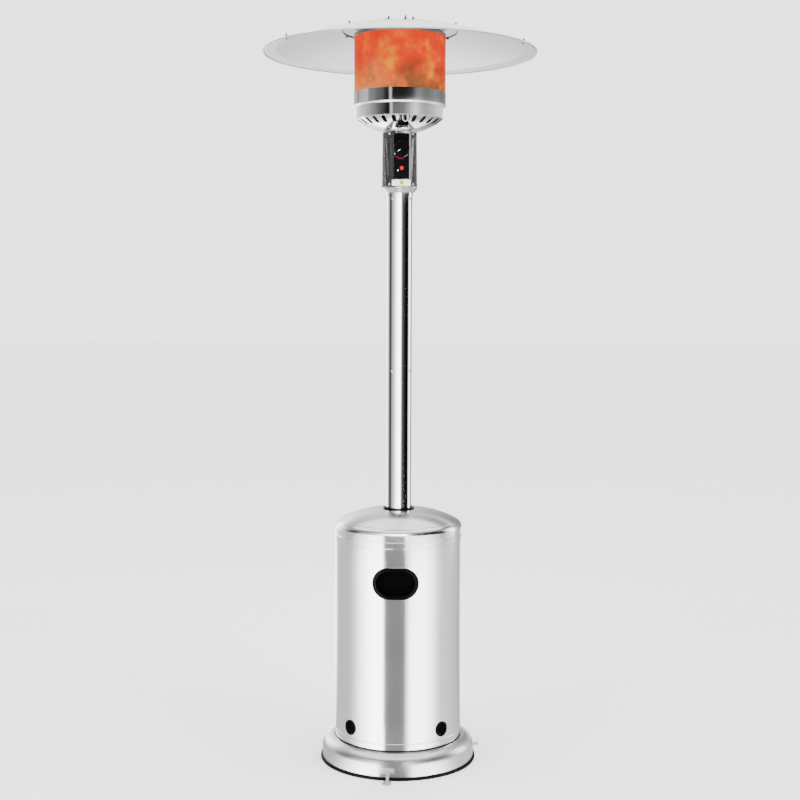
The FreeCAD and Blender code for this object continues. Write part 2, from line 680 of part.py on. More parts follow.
def make_gas_hose():
    """Rubber hose from the regulator, up through the pole, to the control valve."""
    points = [Vec(*p) for p in HOSE_POINTS]
    turned_points = []
    for p in points:
        turned_points.append(FreeCAD.Rotation(UP, CYLINDER_TURN).multVec(p))
    radii = bend_radii(turned_points)
    hose = pipe_along(turned_points, radii, HOSE_R)
    length = route_wire(turned_points, radii).Length
    print("gas_hose length %.1f radii %s" % (length, [round(r) for r in radii]))
    print("gas_hose volume ratio %.4f" % (hose.Volume / (math.pi * HOSE_R ** 2 * length)))
    return hose


# ---- tank cover --------------------------------------------------------------------------------
def cup_outline(width, height, flat, y):
    """Rounded oval in the XZ plane at a given y."""
    half_w = width / 2
    half_h = height / 2
    half_f = flat / 2
    corners = [Vec(s * half_f, y, t * half_h) for s, t in ((-1, 1), (1, 1), (1, -1), (-1, -1))]
    edges = [Part.makeLine(corners[0], corners[1]),
             Part.Arc(corners[1], Vec(half_w, y, 0), corners[2]).toShape(),
             Part.makeLine(corners[2], corners[3]),
             Part.Arc(corners[3], Vec(-half_w, y, 0), corners[0]).toShape()]
    return Part.Wire(edges)


def cup_prism(width, height, flat, y0, y1):
    """Oval bar along Y at the cup's height."""
    face = Part.Face(cup_outline(width, height, flat, y0))
    return moved(face.extrude(Vec(0, y1 - y0, 0)), z=CUP_Z)


def wall_hole():
    """Tool for the oval hole of a hand cup in the front of the cover's wall."""
    trim = 2 * (CUP_RIM - 3)
    return cup_prism(CUP_W - trim, CUP_H - trim, CUP_FLAT, -COVER_R - 20, -COVER_R + 40)


def make_cover_wall():
    """Rolled stainless wall with a swaged bead near the top and two oval holes for the hand cups."""
    inner = COVER_R - SHEET
    bead = 1.4
    low, high = BEAD_Z
    outline = [(inner, COVER_SEAM_Z), (COVER_R, COVER_SEAM_Z), (COVER_R, low - 1.4), (COVER_R + bead, low),
               (COVER_R + bead, high), (COVER_R, high + 1.4), (COVER_R, COVER_TOP_Z), (inner, COVER_TOP_Z),
               (inner, high + 1), (inner + bead, high - 0.4), (inner + bead, low + 0.4), (inner, low - 1)]
    wall = turned(outline, 90)
    wall = wall.cut(wall_hole())
    wall = wall.cut(spin(wall_hole(), 180))
    return spin(wall, COVER_TURN)


def make_cover_foot_band():
    """Lower band of the cover with a lap inside the wall, a bead and four vent holes."""
    inner = COVER_R - SHEET
    lap = inner - FIT
    lap_in = lap - SHEET
    outline = [(inner, DECK_Z), (COVER_R, DECK_Z), (COVER_R, DECK_Z + 19), (COVER_R + 0.8, DECK_Z + 20),
               (COVER_R + 0.8, DECK_Z + 22), (COVER_R, DECK_Z + 23), (COVER_R, COVER_SEAM_Z),
               (lap, COVER_SEAM_Z), (lap, COVER_SEAM_Z + COVER_LAP), (lap_in, COVER_SEAM_Z + COVER_LAP),
               (lap_in, COVER_SEAM_Z - 8), (inner, COVER_SEAM_Z - 8)]
    band = turned(outline, 90)
    for i in range(4):
        hole = rod(Vec(COVER_R - 12, 0, VENT_Z), Vec(COVER_R + 12, 0, VENT_Z), VENT_R - 3)
        band = band.cut(spin(hole, 45 + 90 * i))
    return spin(band, COVER_TURN)


def make_cover_dome():
    """Shallow domed top of the cover: a stepped seam, a round shoulder, a lip and a hole for the pole."""
    seam = COVER_R - 13
    outline = [(DOME_HOLE_R, DOME_Z), (DOME_HOLE_R + 14, DOME_Z), (116, DOME_Z - 9, "arc"),
               (seam, DOME_Z - 33.5), (seam + 0.8, DOME_Z - 34.8),
               (COVER_R - 4, DOME_Z - 41, "arc"), (COVER_R, COVER_TOP_Z)]
    dome = turned_sheet(outline, -DOME_WALL)
    dome = dome.cut(disc(COVER_R + 5, COVER_TOP_Z - 5, COVER_TOP_Z))
    spots = [(GROMMET_SCREW_AT, angle) for angle in GROMMET_SCREW_ANGLES]
    dome = bolt_holes(dome, spots, 1.5 + RUN)
    lip_r = COVER_R - SHEET - FIT
    lip = ring(lip_r, lip_r - DOME_WALL, COVER_TOP_Z - COVER_LAP, COVER_TOP_Z + 3)
    return fused([dome, lip])


def make_hand_cup():
    """Moulded grip recessed in the cover: an oval rim outside the wall and a blind pocket inside it."""
    rim_low = COVER_R + FIT
    rim_top = COVER_R + 3.0
    shell = ring(rim_top, rim_low, CUP_Z - CUP_H, CUP_Z + CUP_H)
    rim = shell.common(cup_prism(CUP_W, CUP_H, CUP_FLAT, -COVER_R - 20, -COVER_R + 45))
    inner_w = CUP_W - 2 * CUP_RIM
    inner_h = CUP_H - 2 * CUP_RIM
    outer_w = inner_w + 2 * CUP_WALL
    outer_h = inner_h + 2 * CUP_WALL
    floor_y = -COVER_R + CUP_DEPTH
    body = cup_prism(outer_w, outer_h, CUP_FLAT, -COVER_R - 20, floor_y)
    body = body.common(disc(rim_top - 0.2, CUP_Z - CUP_H, CUP_Z + CUP_H))
    pocket = cup_prism(inner_w, inner_h, CUP_FLAT, -COVER_R - 21, floor_y - CUP_WALL)
    return fused([rim, body]).cut(pocket)


def hand_cup_at(angle):
    return spin(make_hand_cup(), COVER_TURN + angle)


def make_vent():
    """Plastic vent plug along +X: round rim, sleeve and cross bars."""
    r = VENT_R - 3 - RUN
    seat = COVER_R + FIT
    plug = Part.makeCylinder(r, 12, Vec(COVER_R - 8, 0, VENT_Z), OUT)
    flange = Part.makeCylinder(VENT_R, 12, Vec(COVER_R - 8, 0, VENT_Z), OUT)
    flange = flange.common(ring(COVER_R + 2.2, seat, VENT_Z - 30, VENT_Z + 30))
    plug = plug.common(ring(COVER_R + 2.0, COVER_R - 6, VENT_Z - 30, VENT_Z + 30))
    vent = fused([plug, flange])
    hole = Part.makeCylinder(r - 2, 40, Vec(COVER_R - 20, 0, VENT_Z), OUT)
    pitch = 2 * (r - 2) / (VENT_BARS + 1)
    for i in range(VENT_BARS):
        z = VENT_Z - (r - 2) + pitch * (i + 1)
        hole = hole.cut(block(COVER_R - 21, COVER_R + 21, -r, r, z - 1.6, z + 1.6))
    return vent.cut(hole)


def make_vent_grommets():
    vent = make_vent()
    return group([spin(vent, COVER_TURN + 45 + 90 * i) for i in range(4)])


def make_grommet_screws():
    """Small round-headed screws through the ring and the dome."""
    screw = pan_screw(1.5, 3.6, 3.2, 10)
    screw.rotate(ORIGIN, Vec(0, 1, 0), -90)
    return group([spin(moved(screw, x=GROMMET_SCREW_AT, z=DOME_Z + 4.05), angle)
                  for angle in GROMMET_SCREW_ANGLES])


def make_pole_grommet():
    """Black ring in the dome's hole; the pole runs through it."""
    low = DOME_Z - DOME_WALL
    neck = DOME_HOLE_R - RUN
    outline = [(GROMMET_IN_R, low - 4), (GROMMET_R - 1, low - 4), (GROMMET_R - 1, low), (neck, low),
               (neck, DOME_Z), (GROMMET_R, DOME_Z), (GROMMET_R, DOME_Z + 3),
               (GROMMET_R - 0.5, DOME_Z + 3.9, "arc"), (GROMMET_R - 1.5, DOME_Z + 4),
               (GROMMET_IN_R, DOME_Z + 4)]
    spots = [(GROMMET_SCREW_AT, angle) for angle in GROMMET_SCREW_ANGLES]
    return bolt_holes(turned(outline), spots, 1.5 + FIT)


# ---- housing of the head -----------------------------------------------------------------------
def housing_r(z):
    """Outside radius of the screens at a height."""
    share = (z - HOUSING_Z) / (HOUSING_TOP_Z - HOUSING_Z)
    return HOUSING_R_LOW + (HOUSING_R_TOP - HOUSING_R_LOW) * share


def housing_shell(inner, outer, z0, z1):
    """Tapered shell that stands inner to outer beyond the screens' outside."""
    height = z1 - z0
    solid = Part.makeCone(housing_r(z0) + outer, housing_r(z1) + outer, height, Vec(0, 0, z0))
    return solid.cut(Part.makeCone(housing_r(z0) + inner, housing_r(z1) + inner, height, Vec(0, 0, z0)))


def screen_screw_spots():
    """(side, front or back, height) of the screws at the screens' corners."""
    return [(sx, sy, z) for sx in (-1, 1) for sy in (-1, 1) for z in (HOUSING_Z + 8, HOUSING_TOP_Z - 7)]


def screen_screw_angle(sx, sy, z):
    across = SCREEN_SCREW_X / housing_r(z)
    return math.degrees(math.atan2(sy * math.sqrt(1 - across ** 2), sx * across))


def screw_hole_tool(sx, sy, z):
    r = housing_r(z)
    tool = rod(Vec(r - 8, 0, z), Vec(r + 5, 0, z), 1.5 + RUN)
    return spin(tool, screen_screw_angle(sx, sy, z))


def make_head_collar():
    """Stainless funnel: a spigot inside the pole, a lip round it and a rim under the housing."""
    bore = POLE_R - POLE_WALL - FIT
    rim = HOUSING_R_LOW + FIT + STRIP_T
    stand = HOUSING_R_LOW - SHEET - RUN - FIT
    outline = [(bore - 2, HEAD_SCREW_Z - 22), (bore, HEAD_SCREW_Z - 22), (bore, POLE_TOP_Z),
               (POLE_R + FIT, POLE_TOP_Z), (POLE_R + FIT, POLE_TOP_Z - 8), (COLLAR_LIP_R, POLE_TOP_Z - 8),
               (COLLAR_LIP_R, POLE_TOP_Z + 2), (rim, HOUSING_Z - 3), (rim, HOUSING_Z), (stand, HOUSING_Z),
               (stand, HOUSING_Z + 14), (stand - 1.2, HOUSING_Z + 14), (stand - 1.2, HOUSING_Z - 2.4),
               (COLLAR_LIP_R - 1, POLE_TOP_Z + 3.6), (bore - 2, POLE_TOP_Z + 3.6)]
    collar = turned(outline)
    for angle in POLE_SCREW_ANGLES:
        hole = rod(Vec(bore - 6, 0, HEAD_SCREW_Z), Vec(bore + 0.5, 0, HEAD_SCREW_Z), 2 + RUN)
        collar = collar.cut(spin(hole, angle))
    for sx, sy, z in screen_screw_spots():
        collar = collar.cut(spin(screw_hole_tool(sx, sy, z), HEAD_TURN))
    return collar


def make_head_flange():
    """Disc on top of the housing with a rim inside it; the bowl is bolted to it."""
    top = HOUSING_TOP_Z + FLANGE_T
    plate = ring(HOUSING_R_TOP + FIT + STRIP_T, 7, HOUSING_TOP_Z, top)
    stand = HOUSING_R_TOP - SHEET - RUN
    rim = ring(stand, stand - 1.2, HOUSING_TOP_Z - 13, HOUSING_TOP_Z + 1)
    half = PANEL_W / 2 + 1
    rim = rim.cut(block(-half, half, -PANEL_FACE - 5, 0, HOUSING_TOP_Z - 20, HOUSING_TOP_Z - 1))
    flange = fused([plate, rim])
    for x, y in PIPE_PLACES:
        flange = flange.cut(disc(4.5, HOUSING_TOP_Z - 1, top + 1, x, y))
    for sx, sy, z in screen_screw_spots():
        flange = flange.cut(screw_hole_tool(sx, sy, z))
    return spin(flange, HEAD_TURN)


def housing_strip(low_y, high_y):
    """Polished strip over the screens' edges, between two depths."""
    sheet = housing_shell(FIT, FIT + STRIP_T, HOUSING_Z, HOUSING_TOP_Z)
    half = STRIP_W / 2
    return sheet.common(block(-half, half, low_y, high_y, HOUSING_Z - 1, HOUSING_TOP_Z + 1))


def make_front_strip():
    """Front strip with the opening that the panel fits."""
    half = PANEL_W / 2 + RUN
    window = block(-half, half, -80, -20, PANEL_LOW_Z - RUN, PANEL_TOP_Z + RUN)
    return spin(housing_strip(-90, 0).cut(window), HEAD_TURN)


def make_back_strip():
    return spin(housing_strip(0, 90), HEAD_TURN)


def make_screen(side):
    """Perforated side screen; its edges lie behind the strips."""
    sheet = housing_shell(-SHEET, 0, HOUSING_Z, HOUSING_TOP_Z)
    edge = STRIP_W / 2 - 4
    low, high = (-90, -edge) if side < 0 else (edge, 90)
    screen = sheet.common(block(low, high, -90, 90, HOUSING_Z - 1, HOUSING_TOP_Z + 1))
    for sx, sy, z in screen_screw_spots():
        if sx == side:
            screen = screen.cut(screw_hole_tool(sx, sy, z))
    return spin(screen, HEAD_TURN)


def make_screen_screws():
    screws = []
    for sx, sy, z in screen_screw_spots():
        angle = screen_screw_angle(sx, sy, z) + HEAD_TURN
        screws.append(radial_screw(housing_r(z) + 0.15, z, angle, 1.5, 3.4, 2.0, 4))
    return group(screws)


def rounded_plate(half_w, z0, z1, y0, y1, corner):
    """Plate facing -Y with rounded corners."""
    plate = block(-half_w, half_w, y0, y1, z0, z1)
    upright = [e for e in plate.Edges if abs(e.tangentAt(e.FirstParameter).y) > 0.99]
    return plate.makeFillet(corner, upright)


def make_control_panel():
    """Black panel with holes for the gas stem and the igniter button."""
    half = PANEL_W / 2
    panel = rounded_plate(half, PANEL_LOW_Z, PANEL_TOP_Z, -PANEL_FACE, -PANEL_FACE + PANEL_T, PANEL_R)
    for z, r in ((KNOB_Z, STEM_R + 1), (BUTTON_Z, BUTTON_R + RUN)):
        panel = panel.cut(rod(Vec(0, -PANEL_FACE - 1, z), Vec(0, -PANEL_FACE + PANEL_T + 1, z), r))
    return spin(panel, HEAD_TURN)


def make_rating_plate():
    """Plain plate on the strip, below the panel."""
    low, high = LABEL_Z
    sheet = housing_shell(2 * FIT + STRIP_T, 2 * FIT + STRIP_T + 0.5, low, high)
    half = LABEL_W / 2
    return spin(sheet.common(block(-half, half, -90, 0, low - 1, high + 1)), HEAD_TURN)


def make_knob():
    """Control knob: notched round base, grip bar across it, pointer line and stem."""
    back = -PANEL_FACE - KNOB_TRAVEL - KNOB_GAP
    base = turned([(0, 0), (KNOB_R, 0), (KNOB_R, 3), (KNOB_R - 1.2, KNOB_BASE_H - 1.5),
                   (KNOB_R - 2.7, KNOB_BASE_H), (0, KNOB_BASE_H)])
    notches = [spin(disc(1.3, 2, KNOB_BASE_H + 1, x=KNOB_R), 15 * i) for i in range(24)]
    base = base.cut(Part.makeCompound(notches))
    limit = turned([(0, 0), (KNOB_R - 1.5, 0), (KNOB_R - 4, KNOB_H), (0, KNOB_H)])
    half = KNOB_GRIP_W / 2
    grip = block(-half, half, -KNOB_R, KNOB_R, KNOB_BASE_H - 1, KNOB_H).common(limit)
    pointer = block(-1, 1, 8, KNOB_R - 5, KNOB_H - 0.5, KNOB_H + 0.8)
    stem = disc(STEM_R, -STEM_L, 1)
    knob = spin(fused([base, grip, pointer, stem]), KNOB_POINTS)
    knob.rotate(ORIGIN, OUT, 90)
    return spin(moved(knob, y=back, z=KNOB_Z), HEAD_TURN)


STEM_END = -PANEL_FACE - KNOB_TRAVEL - KNOB_GAP + STEM_L


def make_valve_plunger():
    """Pin in the valve that the pushed stem drives inwards."""
    plunger = fused([rod(Vec(0, STEM_END, KNOB_Z), Vec(0, STEM_END + 4, KNOB_Z), STEM_R),
                     rod(Vec(0, STEM_END + 3, KNOB_Z), Vec(0, STEM_END + PLUNGER_L, KNOB_Z), 2.5)])
    return spin(plunger, HEAD_TURN)


def make_gas_valve():
    """Cast valve body behind the panel with an inlet over the hose and an outlet on top."""
    front = -PANEL_FACE + PANEL_T
    body = block(-17, 17, front, -11, KNOB_Z - 18, KNOB_Z + 18)
    inlet = disc(9, HOSE_TOP_Z + 12, KNOB_Z + 4)
    bridge = block(-7, 7, -13, 0, KNOB_Z - 10, KNOB_Z + 3)
    magnet = rod(Vec(0, -12, KNOB_Z), Vec(0, 1, KNOB_Z), 3)
    outlet = disc(6, KNOB_Z + 17, KNOB_Z + 22, y=-28)
    side = [disc(4, KNOB_Z + 17, KNOB_Z + 20, s * 12, -30) for s in (-1, 1)]
    valve = fused([body, inlet, bridge, magnet, outlet] + side)
    bore_end = STEM_END + PLUNGER_L + KNOB_TRAVEL + 1
    bore = rod(Vec(0, front - 1, KNOB_Z), Vec(0, bore_end, KNOB_Z), STEM_R + SLIDE_FIT)
    return spin(valve.cut(bore), HEAD_TURN)


def make_hose_ferrules():
    """Crimped brass ends of the hose: one on the regulator, one under the control valve."""
    top = ring(8, HOSE_R + FIT, HOSE_TOP_Z - 26, HOSE_TOP_Z)
    cap = disc(8, HOSE_TOP_Z, HOSE_TOP_Z + 12)
    upper = fused([top, cap])
    start = Vec(*HOSE_POINTS[0])
    way = Vec(*HOSE_POINTS[1]).sub(start)
    lower = Part.makeCylinder(8, 18, start, way)
    lower = lower.cut(Part.makeCylinder(HOSE_R + FIT, 20, start, way))
    return group([spin(upper, HEAD_TURN), spin(lower, CYLINDER_TURN)])


IGNITER_END = -PANEL_FACE + PANEL_T + 30


def make_igniter_body():
    """Spark generator: a tube behind the panel that the button slides in."""
    front = -PANEL_FACE + PANEL_T
    body = rod(Vec(0, front, BUTTON_Z), Vec(0, IGNITER_END, BUTTON_Z), 9)
    bore_end = front + BUTTON_DEEP + BUTTON_TRAVEL + 1
    body = body.cut(rod(Vec(0, front - 1, BUTTON_Z), Vec(0, bore_end, BUTTON_Z), BUTTON_R + SLIDE_FIT))
    return spin(body, HEAD_TURN)


def make_igniter_button():
    """Round push button with a domed face."""
    length = BUTTON_OUT + PANEL_T + BUTTON_DEEP
    profile = [(0, 0), (BUTTON_R, 0), (BUTTON_R, length - 1.5), (BUTTON_R - 0.6, length - 0.5, "arc"),
               (BUTTON_R - 1.6, length), (0, length)]
    button = turned(profile)
    button.rotate(ORIGIN, OUT, 90)
    return spin(moved(button, y=-PANEL_FACE - BUTTON_OUT + length, z=BUTTON_Z), HEAD_TURN)


def make_tilt_switch():
    """Tilt switch can on a bracket from the back strip."""
    can = disc(11, HOUSING_Z + 26, HOUSING_Z + 54, -14, 20)
    reach = block(-20, -8, 20, 60, HOUSING_Z + 38, HOUSING_Z + 40)
    reach = reach.common(disc(housing_r(HOUSING_Z + 40) - FIT, HOUSING_Z, HOUSING_TOP_Z))
    return spin(fused([can, reach]), HEAD_TURN)


# ---- pipes and wires of the burner -------------------------------------------------------------
RISER_POINTS = [(0, -28, KNOB_Z + 22), (0, -28, KNOB_Z + 32), (0, 0, KNOB_Z + 38), (0, 0, KNOB_Z + 58)]
PILOT_POINTS = [(12, -30, KNOB_Z + 20), (12, -30, BOWL_FLOOR_Z + 9), (2, -90, BOWL_FLOOR_Z + 23),
                (0, -97, BOWL_FLOOR_Z + 36)]
PROBE_POINTS = [(-12, -30, KNOB_Z + 20), (-12, -30, BOWL_FLOOR_Z + 9), (-9, -92, BOWL_FLOOR_Z + 23),
                (-9, -100, BOWL_FLOOR_Z + 38)]
SPARK_POINTS = [(5, IGNITER_END, BUTTON_Z), (5, IGNITER_END + 5, BUTTON_Z), (28, 2, BUTTON_Z + 14),
                (30, 10, BUTTON_Z + 34), (30, 10, BOWL_FLOOR_Z + 7), (26, -50, BOWL_FLOOR_Z + 14),
                (11, -104, BOWL_FLOOR_Z + 26)]
PIPE_PLACES = [(12, -30), (-12, -30), (30, 10)]
PIPE_BEND = 6.0


def head_pipe(points, r):
    """Bent pipe or wire in the head."""
    spots = [Vec(*p) for p in points]
    radii = [min(PIPE_BEND, radius) for radius in bend_radii(spots)]
    return spin(pipe_along(spots, radii, r), HEAD_TURN)


def make_gas_riser():
    """Pipe from the control valve to the jet under the burner."""
    pipe = head_pipe(RISER_POINTS, 4)
    jet_z = RISER_POINTS[-1][2]
    return pipe.fuse(hexagon(12, jet_z - 6, jet_z + 4)).removeSplitter()


def make_pilot_pipe():
    return head_pipe(PILOT_POINTS, 2)


def make_thermocouple():
    """Flame probe with its lead."""
    lead = head_pipe(PROBE_POINTS, 1.5)
    x, y, z = PROBE_POINTS[-1]
    tip = spin(disc(2.6, z - 2, z + 16, x, y), HEAD_TURN)
    return lead.fuse(tip).removeSplitter()


def make_igniter_lead():
    return head_pipe(SPARK_POINTS, 1.3)


def make_spark_electrode():
    """Ceramic rod with a wire tip, standing at the end of the igniter's lead."""
    x, y, z = SPARK_POINTS[-1]
    ceramic = disc(3, z + 1.5, z + 15, x, y - 1)
    tip = disc(1, z + 14, z + 21, x, y - 1)
    return spin(fused([ceramic, tip]), HEAD_TURN)


def make_pilot_bracket():
    """Bent strip over the lighting hole that holds the pilot pipe, the probe and the electrode."""
    z = BOWL_RIM_Z + 2
    bar = block(-18, 18, -110.5, -94, z, z + 1.5)
    seats = ((PILOT_POINTS, 0, 2.1), (PROBE_POINTS, 0, 2.7), (SPARK_POINTS, -1, 3.1))
    for points, ahead, r in seats:
        bar = bar.cut(disc(r, z - 1, z + 3, points[-1][0], points[-1][1] + ahead))
    ears = [block(s * 16.5 - 1.5, s * 16.5 + 1.5, -127.2, -94, z, z + 8) for s in (-1, 1)]
    bracket = fused([bar] + ears)
    return spin(bracket.common(disc(BOWL_R - 1.1, z - 1, z + 10)), HEAD_TURN)


# ---- burner and emitter ------------------------------------------------------------------------
def make_burner_bowl():
    """Slotted stainless cone under the burner with a lighting hole at the front."""
    outline = [(BOWL_R, BOWL_RIM_Z + 10), (BOWL_R, BOWL_RIM_Z - 0.8), (95, BOWL_FLOOR_Z + 15, "arc"),
               (50, BOWL_FLOOR_Z), (8, BOWL_FLOOR_Z)]
    bowl = turned_sheet(outline, -BOWL_WALL)
    half = SLOT_W / 2
    low, high = BOWL_FLOOR_Z - 10, BOWL_RIM_Z + 13
    slot = fused([block(SLOT_IN_R + half, SLOT_OUT_R - half, -half, half, low, high),
                  disc(half, low, high, x=SLOT_IN_R + half), disc(half, low, high, x=SLOT_OUT_R - half)])
    pitch = 360.0 / SLOT_COUNT
    tools = [spin(slot, -90 + pitch * i) for i in range(1, SLOT_COUNT)]
    tools.append(block(-LIGHT_HOLE_W / 2, LIGHT_HOLE_W / 2, -SLOT_OUT_R, -LIGHT_HOLE_IN_R, low, high))
    tools += [disc(4.5, low, BOWL_FLOOR_Z + 5, x, y) for x, y in PIPE_PLACES]
    return spin(bowl.cut(Part.makeCompound(tools)), HEAD_TURN)


def make_band_lower():
    return ring(BAND_R, BAND_R - SHEET, BAND_LOW_Z, BAND_STEP_Z)


def make_band_upper():
    """Wider polished band on a shelf that rests on the lower band."""
    outline = [(122, BAND_STEP_Z), (UPPER_BAND_R, BAND_STEP_Z), (UPPER_BAND_R, UPPER_BAND_TOP_Z),
               (UPPER_BAND_R - SHEET, UPPER_BAND_TOP_Z), (UPPER_BAND_R - SHEET, BAND_STEP_Z + 1),
               (122, BAND_STEP_Z + 1)]
    return turned(outline)


def make_venturi():
    """Mixing tube with a flared mouth over the jet."""
    outline = [(22, PAN_Z - 37), (14.5, PAN_Z - 28, "arc"), (13, PAN_Z - 15), (13, PAN_Z - FIT)]
    return turned_sheet(outline, 1.2)


def make_burner_pan():
    """Dished burner on the upper band's shelf."""
    shelf = BAND_STEP_Z + 1
    outline = [(11.5, PAN_Z), (60, PAN_Z + 5), (112, PAN_Z + 15), (118, shelf), (131, shelf)]
    return turned_sheet(outline, 1.0)


def make_burner_screen():
    """Domed burner screen over the pan."""
    low = BAND_STEP_Z + 2
    outline = [(131, low), (116, low), crown_middle(116, low, 15), (0, low + 15)]
    return turned_sheet(outline, -SHEET)


def make_emitter_screen():
    """Perforated cylinder that glows, standing on the upper band's shelf."""
    outer = UPPER_BAND_R - SHEET - 0.2
    return ring(outer, outer - SHEET, BAND_STEP_Z + 1, EMITTER_TOP_Z)


def stud_spots():
    return [(STUD_AT, angle) for angle in SEAM_ANGLES]


def make_emitter_cap():
    """Dark lid on the emitter."""
    low = CAP_Z - CAP_H
    outline = [(UPPER_BAND_R, low), (UPPER_BAND_R, CAP_Z - 4), (UPPER_BAND_R - 1.2, CAP_Z - 1.2, "arc"),
               (UPPER_BAND_R - 4, CAP_Z), (0, CAP_Z)]
    return bolt_holes(turned_sheet(outline, SHEET), stud_spots(), STUD_R + RUN)


# ---- reflector ---------------------------------------------------------------------------------
PETAL_APEX_Z = DISC_TOP_Z - DISC_T - FIT
DOME_DROP = PETAL_APEX_Z - BRIM_Z
DOME_RADIUS = (BRIM_R ** 2 + DOME_DROP ** 2) / (2 * DOME_DROP)
DOME_CENTRE_Z = PETAL_APEX_Z - DOME_RADIUS
RIM_AT = REFLECTOR_R - RIM_BEAD_R


def dome_z(r, offset=0.0):
    """Height at a radius of the petals' upper face, or of a face offset from it."""
    return DOME_CENTRE_Z + math.sqrt((DOME_RADIUS + offset) ** 2 - r ** 2)


def brim_z(r, offset=0.0):
    """Height at a radius of the flatter brim."""
    share = (r - BRIM_R) / (RIM_AT - BRIM_R)
    return dome_z(BRIM_R, offset) * (1 - share) + (RIM_Z + offset) * share


def petal_outline(offset, end_r):
    """Outline of the skin from its inner edge to a radius on the brim, offset from the upper face."""
    middle = (PETAL_IN_R + BRIM_R) / 2
    return [(PETAL_IN_R, dome_z(PETAL_IN_R, offset)), (middle, dome_z(middle, offset), "arc"),
            (BRIM_R, dome_z(BRIM_R, offset)), (end_r, brim_z(end_r, offset))]


def inner_bolt_spots():
    return [(INNER_BOLT_AT, SEAM_ANGLES[0] - LAP_DEG / 2 + 60 * i) for i in range(6)]


def outer_bolt_spots():
    return [(OUTER_BOLT_AT, angle - LAP_DEG / 2) for angle in SEAM_ANGLES]


def make_petal(start):
    """Third of the reflector with a lap under its neighbour's edge and a rolled rim."""
    own_start = start + PETAL_GAP_DEG
    own_sweep = 120 - 2 * PETAL_GAP_DEG
    skin = turned_sheet(petal_outline(0, RIM_AT), -PETAL_T, own_start, own_sweep)
    turns = [math.radians(360 * i / RIM_BEAD_FLATS) for i in range(RIM_BEAD_FLATS)]
    bead = turned([(RIM_AT + RIM_BEAD_R * math.cos(a), RIM_Z - PETAL_T / 2 + RIM_BEAD_R * math.sin(a))
                   for a in turns], own_start, own_sweep)
    lap_end = RIM_AT - RIM_BEAD_R - 2
    tongue = turned_sheet(petal_outline(-PETAL_T - FIT, lap_end), -PETAL_T, start - LAP_DEG, LAP_DEG + 0.6)
    bridge = turned_sheet(petal_outline(-0.2, lap_end), 0.3 - 2 * PETAL_T, own_start, 0.6 - PETAL_GAP_DEG)
    petal = fused([skin, bead, tongue, bridge])
    return bolt_holes(petal, inner_bolt_spots() + outer_bolt_spots(), BOLT_R + RUN)


def make_reflector_disc():
    """Round centre plate over the petals' inner edges."""
    offset = FIT
    outline = [(0, dome_z(0, offset)), (DISC_R / 2, dome_z(DISC_R / 2, offset), "arc"),
               (DISC_R, dome_z(DISC_R, offset))]
    plate = turned_sheet(outline, DISC_T)
    plate = bolt_holes(plate, inner_bolt_spots(), BOLT_R + RUN)
    return bolt_holes(plate, stud_spots(), STUD_R + RUN)


def skin_bolt(stack):
    """Bolt with a nut on top at the origin and its head a stack's thickness below."""
    head = disc(4.6, -stack - 2.6, -stack - 0.05)
    shank = disc(BOLT_R, -stack - 1, 11)
    nut = hexagon(8, 0.05, 4)
    return fused([head, shank, nut])


def make_reflector_bolts():
    """Bolts of the centre plate and of the petals' outer seams, square to the skin."""
    bolts = []
    top = FIT + DISC_T
    for i, (at, angle) in enumerate(inner_bolt_spots()):
        layers = 1 if i % 2 else 2
        bolt = skin_bolt(top + layers * (PETAL_T + FIT))
        bolt.rotate(ORIGIN, Vec(0, 1, 0), math.degrees(math.asin(at / DOME_RADIUS)))
        bolts.append(spin(moved(bolt, x=at, z=dome_z(at, top)), angle))
    brim_slope = math.degrees(math.atan2(dome_z(BRIM_R) - RIM_Z, RIM_AT - BRIM_R))
    for at, angle in outer_bolt_spots():
        bolt = skin_bolt(2 * PETAL_T + 2 * FIT)
        bolt.rotate(ORIGIN, Vec(0, 1, 0), brim_slope)
        bolts.append(spin(moved(bolt, x=at, z=brim_z(at)), angle))
    return group(bolts)


def make_studs():
    """Threaded studs from the emitter's lid up through the centre plate."""
    low = CAP_Z - SHEET
    stud = fused([disc(STUD_R, low - 8, STUD_TOP_Z), hexagon(10, low - 6, low - 0.05)])
    return group([spin(moved(stud, x=at), angle) for at, angle in stud_spots()])


def make_stud_spacers():
    sleeve = ring(6, STUD_R + FIT, CAP_Z, dome_z(STUD_AT + 7, FIT) - FIT)
    return group([spin(moved(sleeve, x=at), angle) for at, angle in stud_spots()])


def make_wing_nuts():
    """Wing nuts that hold the reflector down."""
    seat = dome_z(STUD_AT - 7, FIT + DISC_T) + 0.05
    hub = Part.makeCone(6.5, 4.8, 8, Vec(0, 0, seat))
    wing = Part.Face(Part.Wire(path_edges([
        (3.5, seat + 1), (7, seat + 1), (12, seat + 4), (17.5, seat + 11), (16.5, seat + 15.5, "arc"),
        (12.5, seat + 14), (8, seat + 8.5), (3.5, seat + 7), (3.5, seat + 1)])))
    wing = moved(wing.extrude(Vec(0, 2.4, 0)), y=-1.2)
    nut = fused([hub, wing, spin(wing, 180)])
    nut = nut.cut(disc(STUD_R + 0.05, seat - 1, seat + 9))
    turned_nuts = zip((20, 75, 130), stud_spots())
    return group([spin(moved(spin(nut, turn), x=at), angle) for turn, (at, angle) in turned_nuts])


# ---- every node and the piece it holds ---------------------------------------------------------
def merged(*groups):
    """One node of separate solids from several groups."""
    return group([solid for shape in groups for solid in shape.Solids])


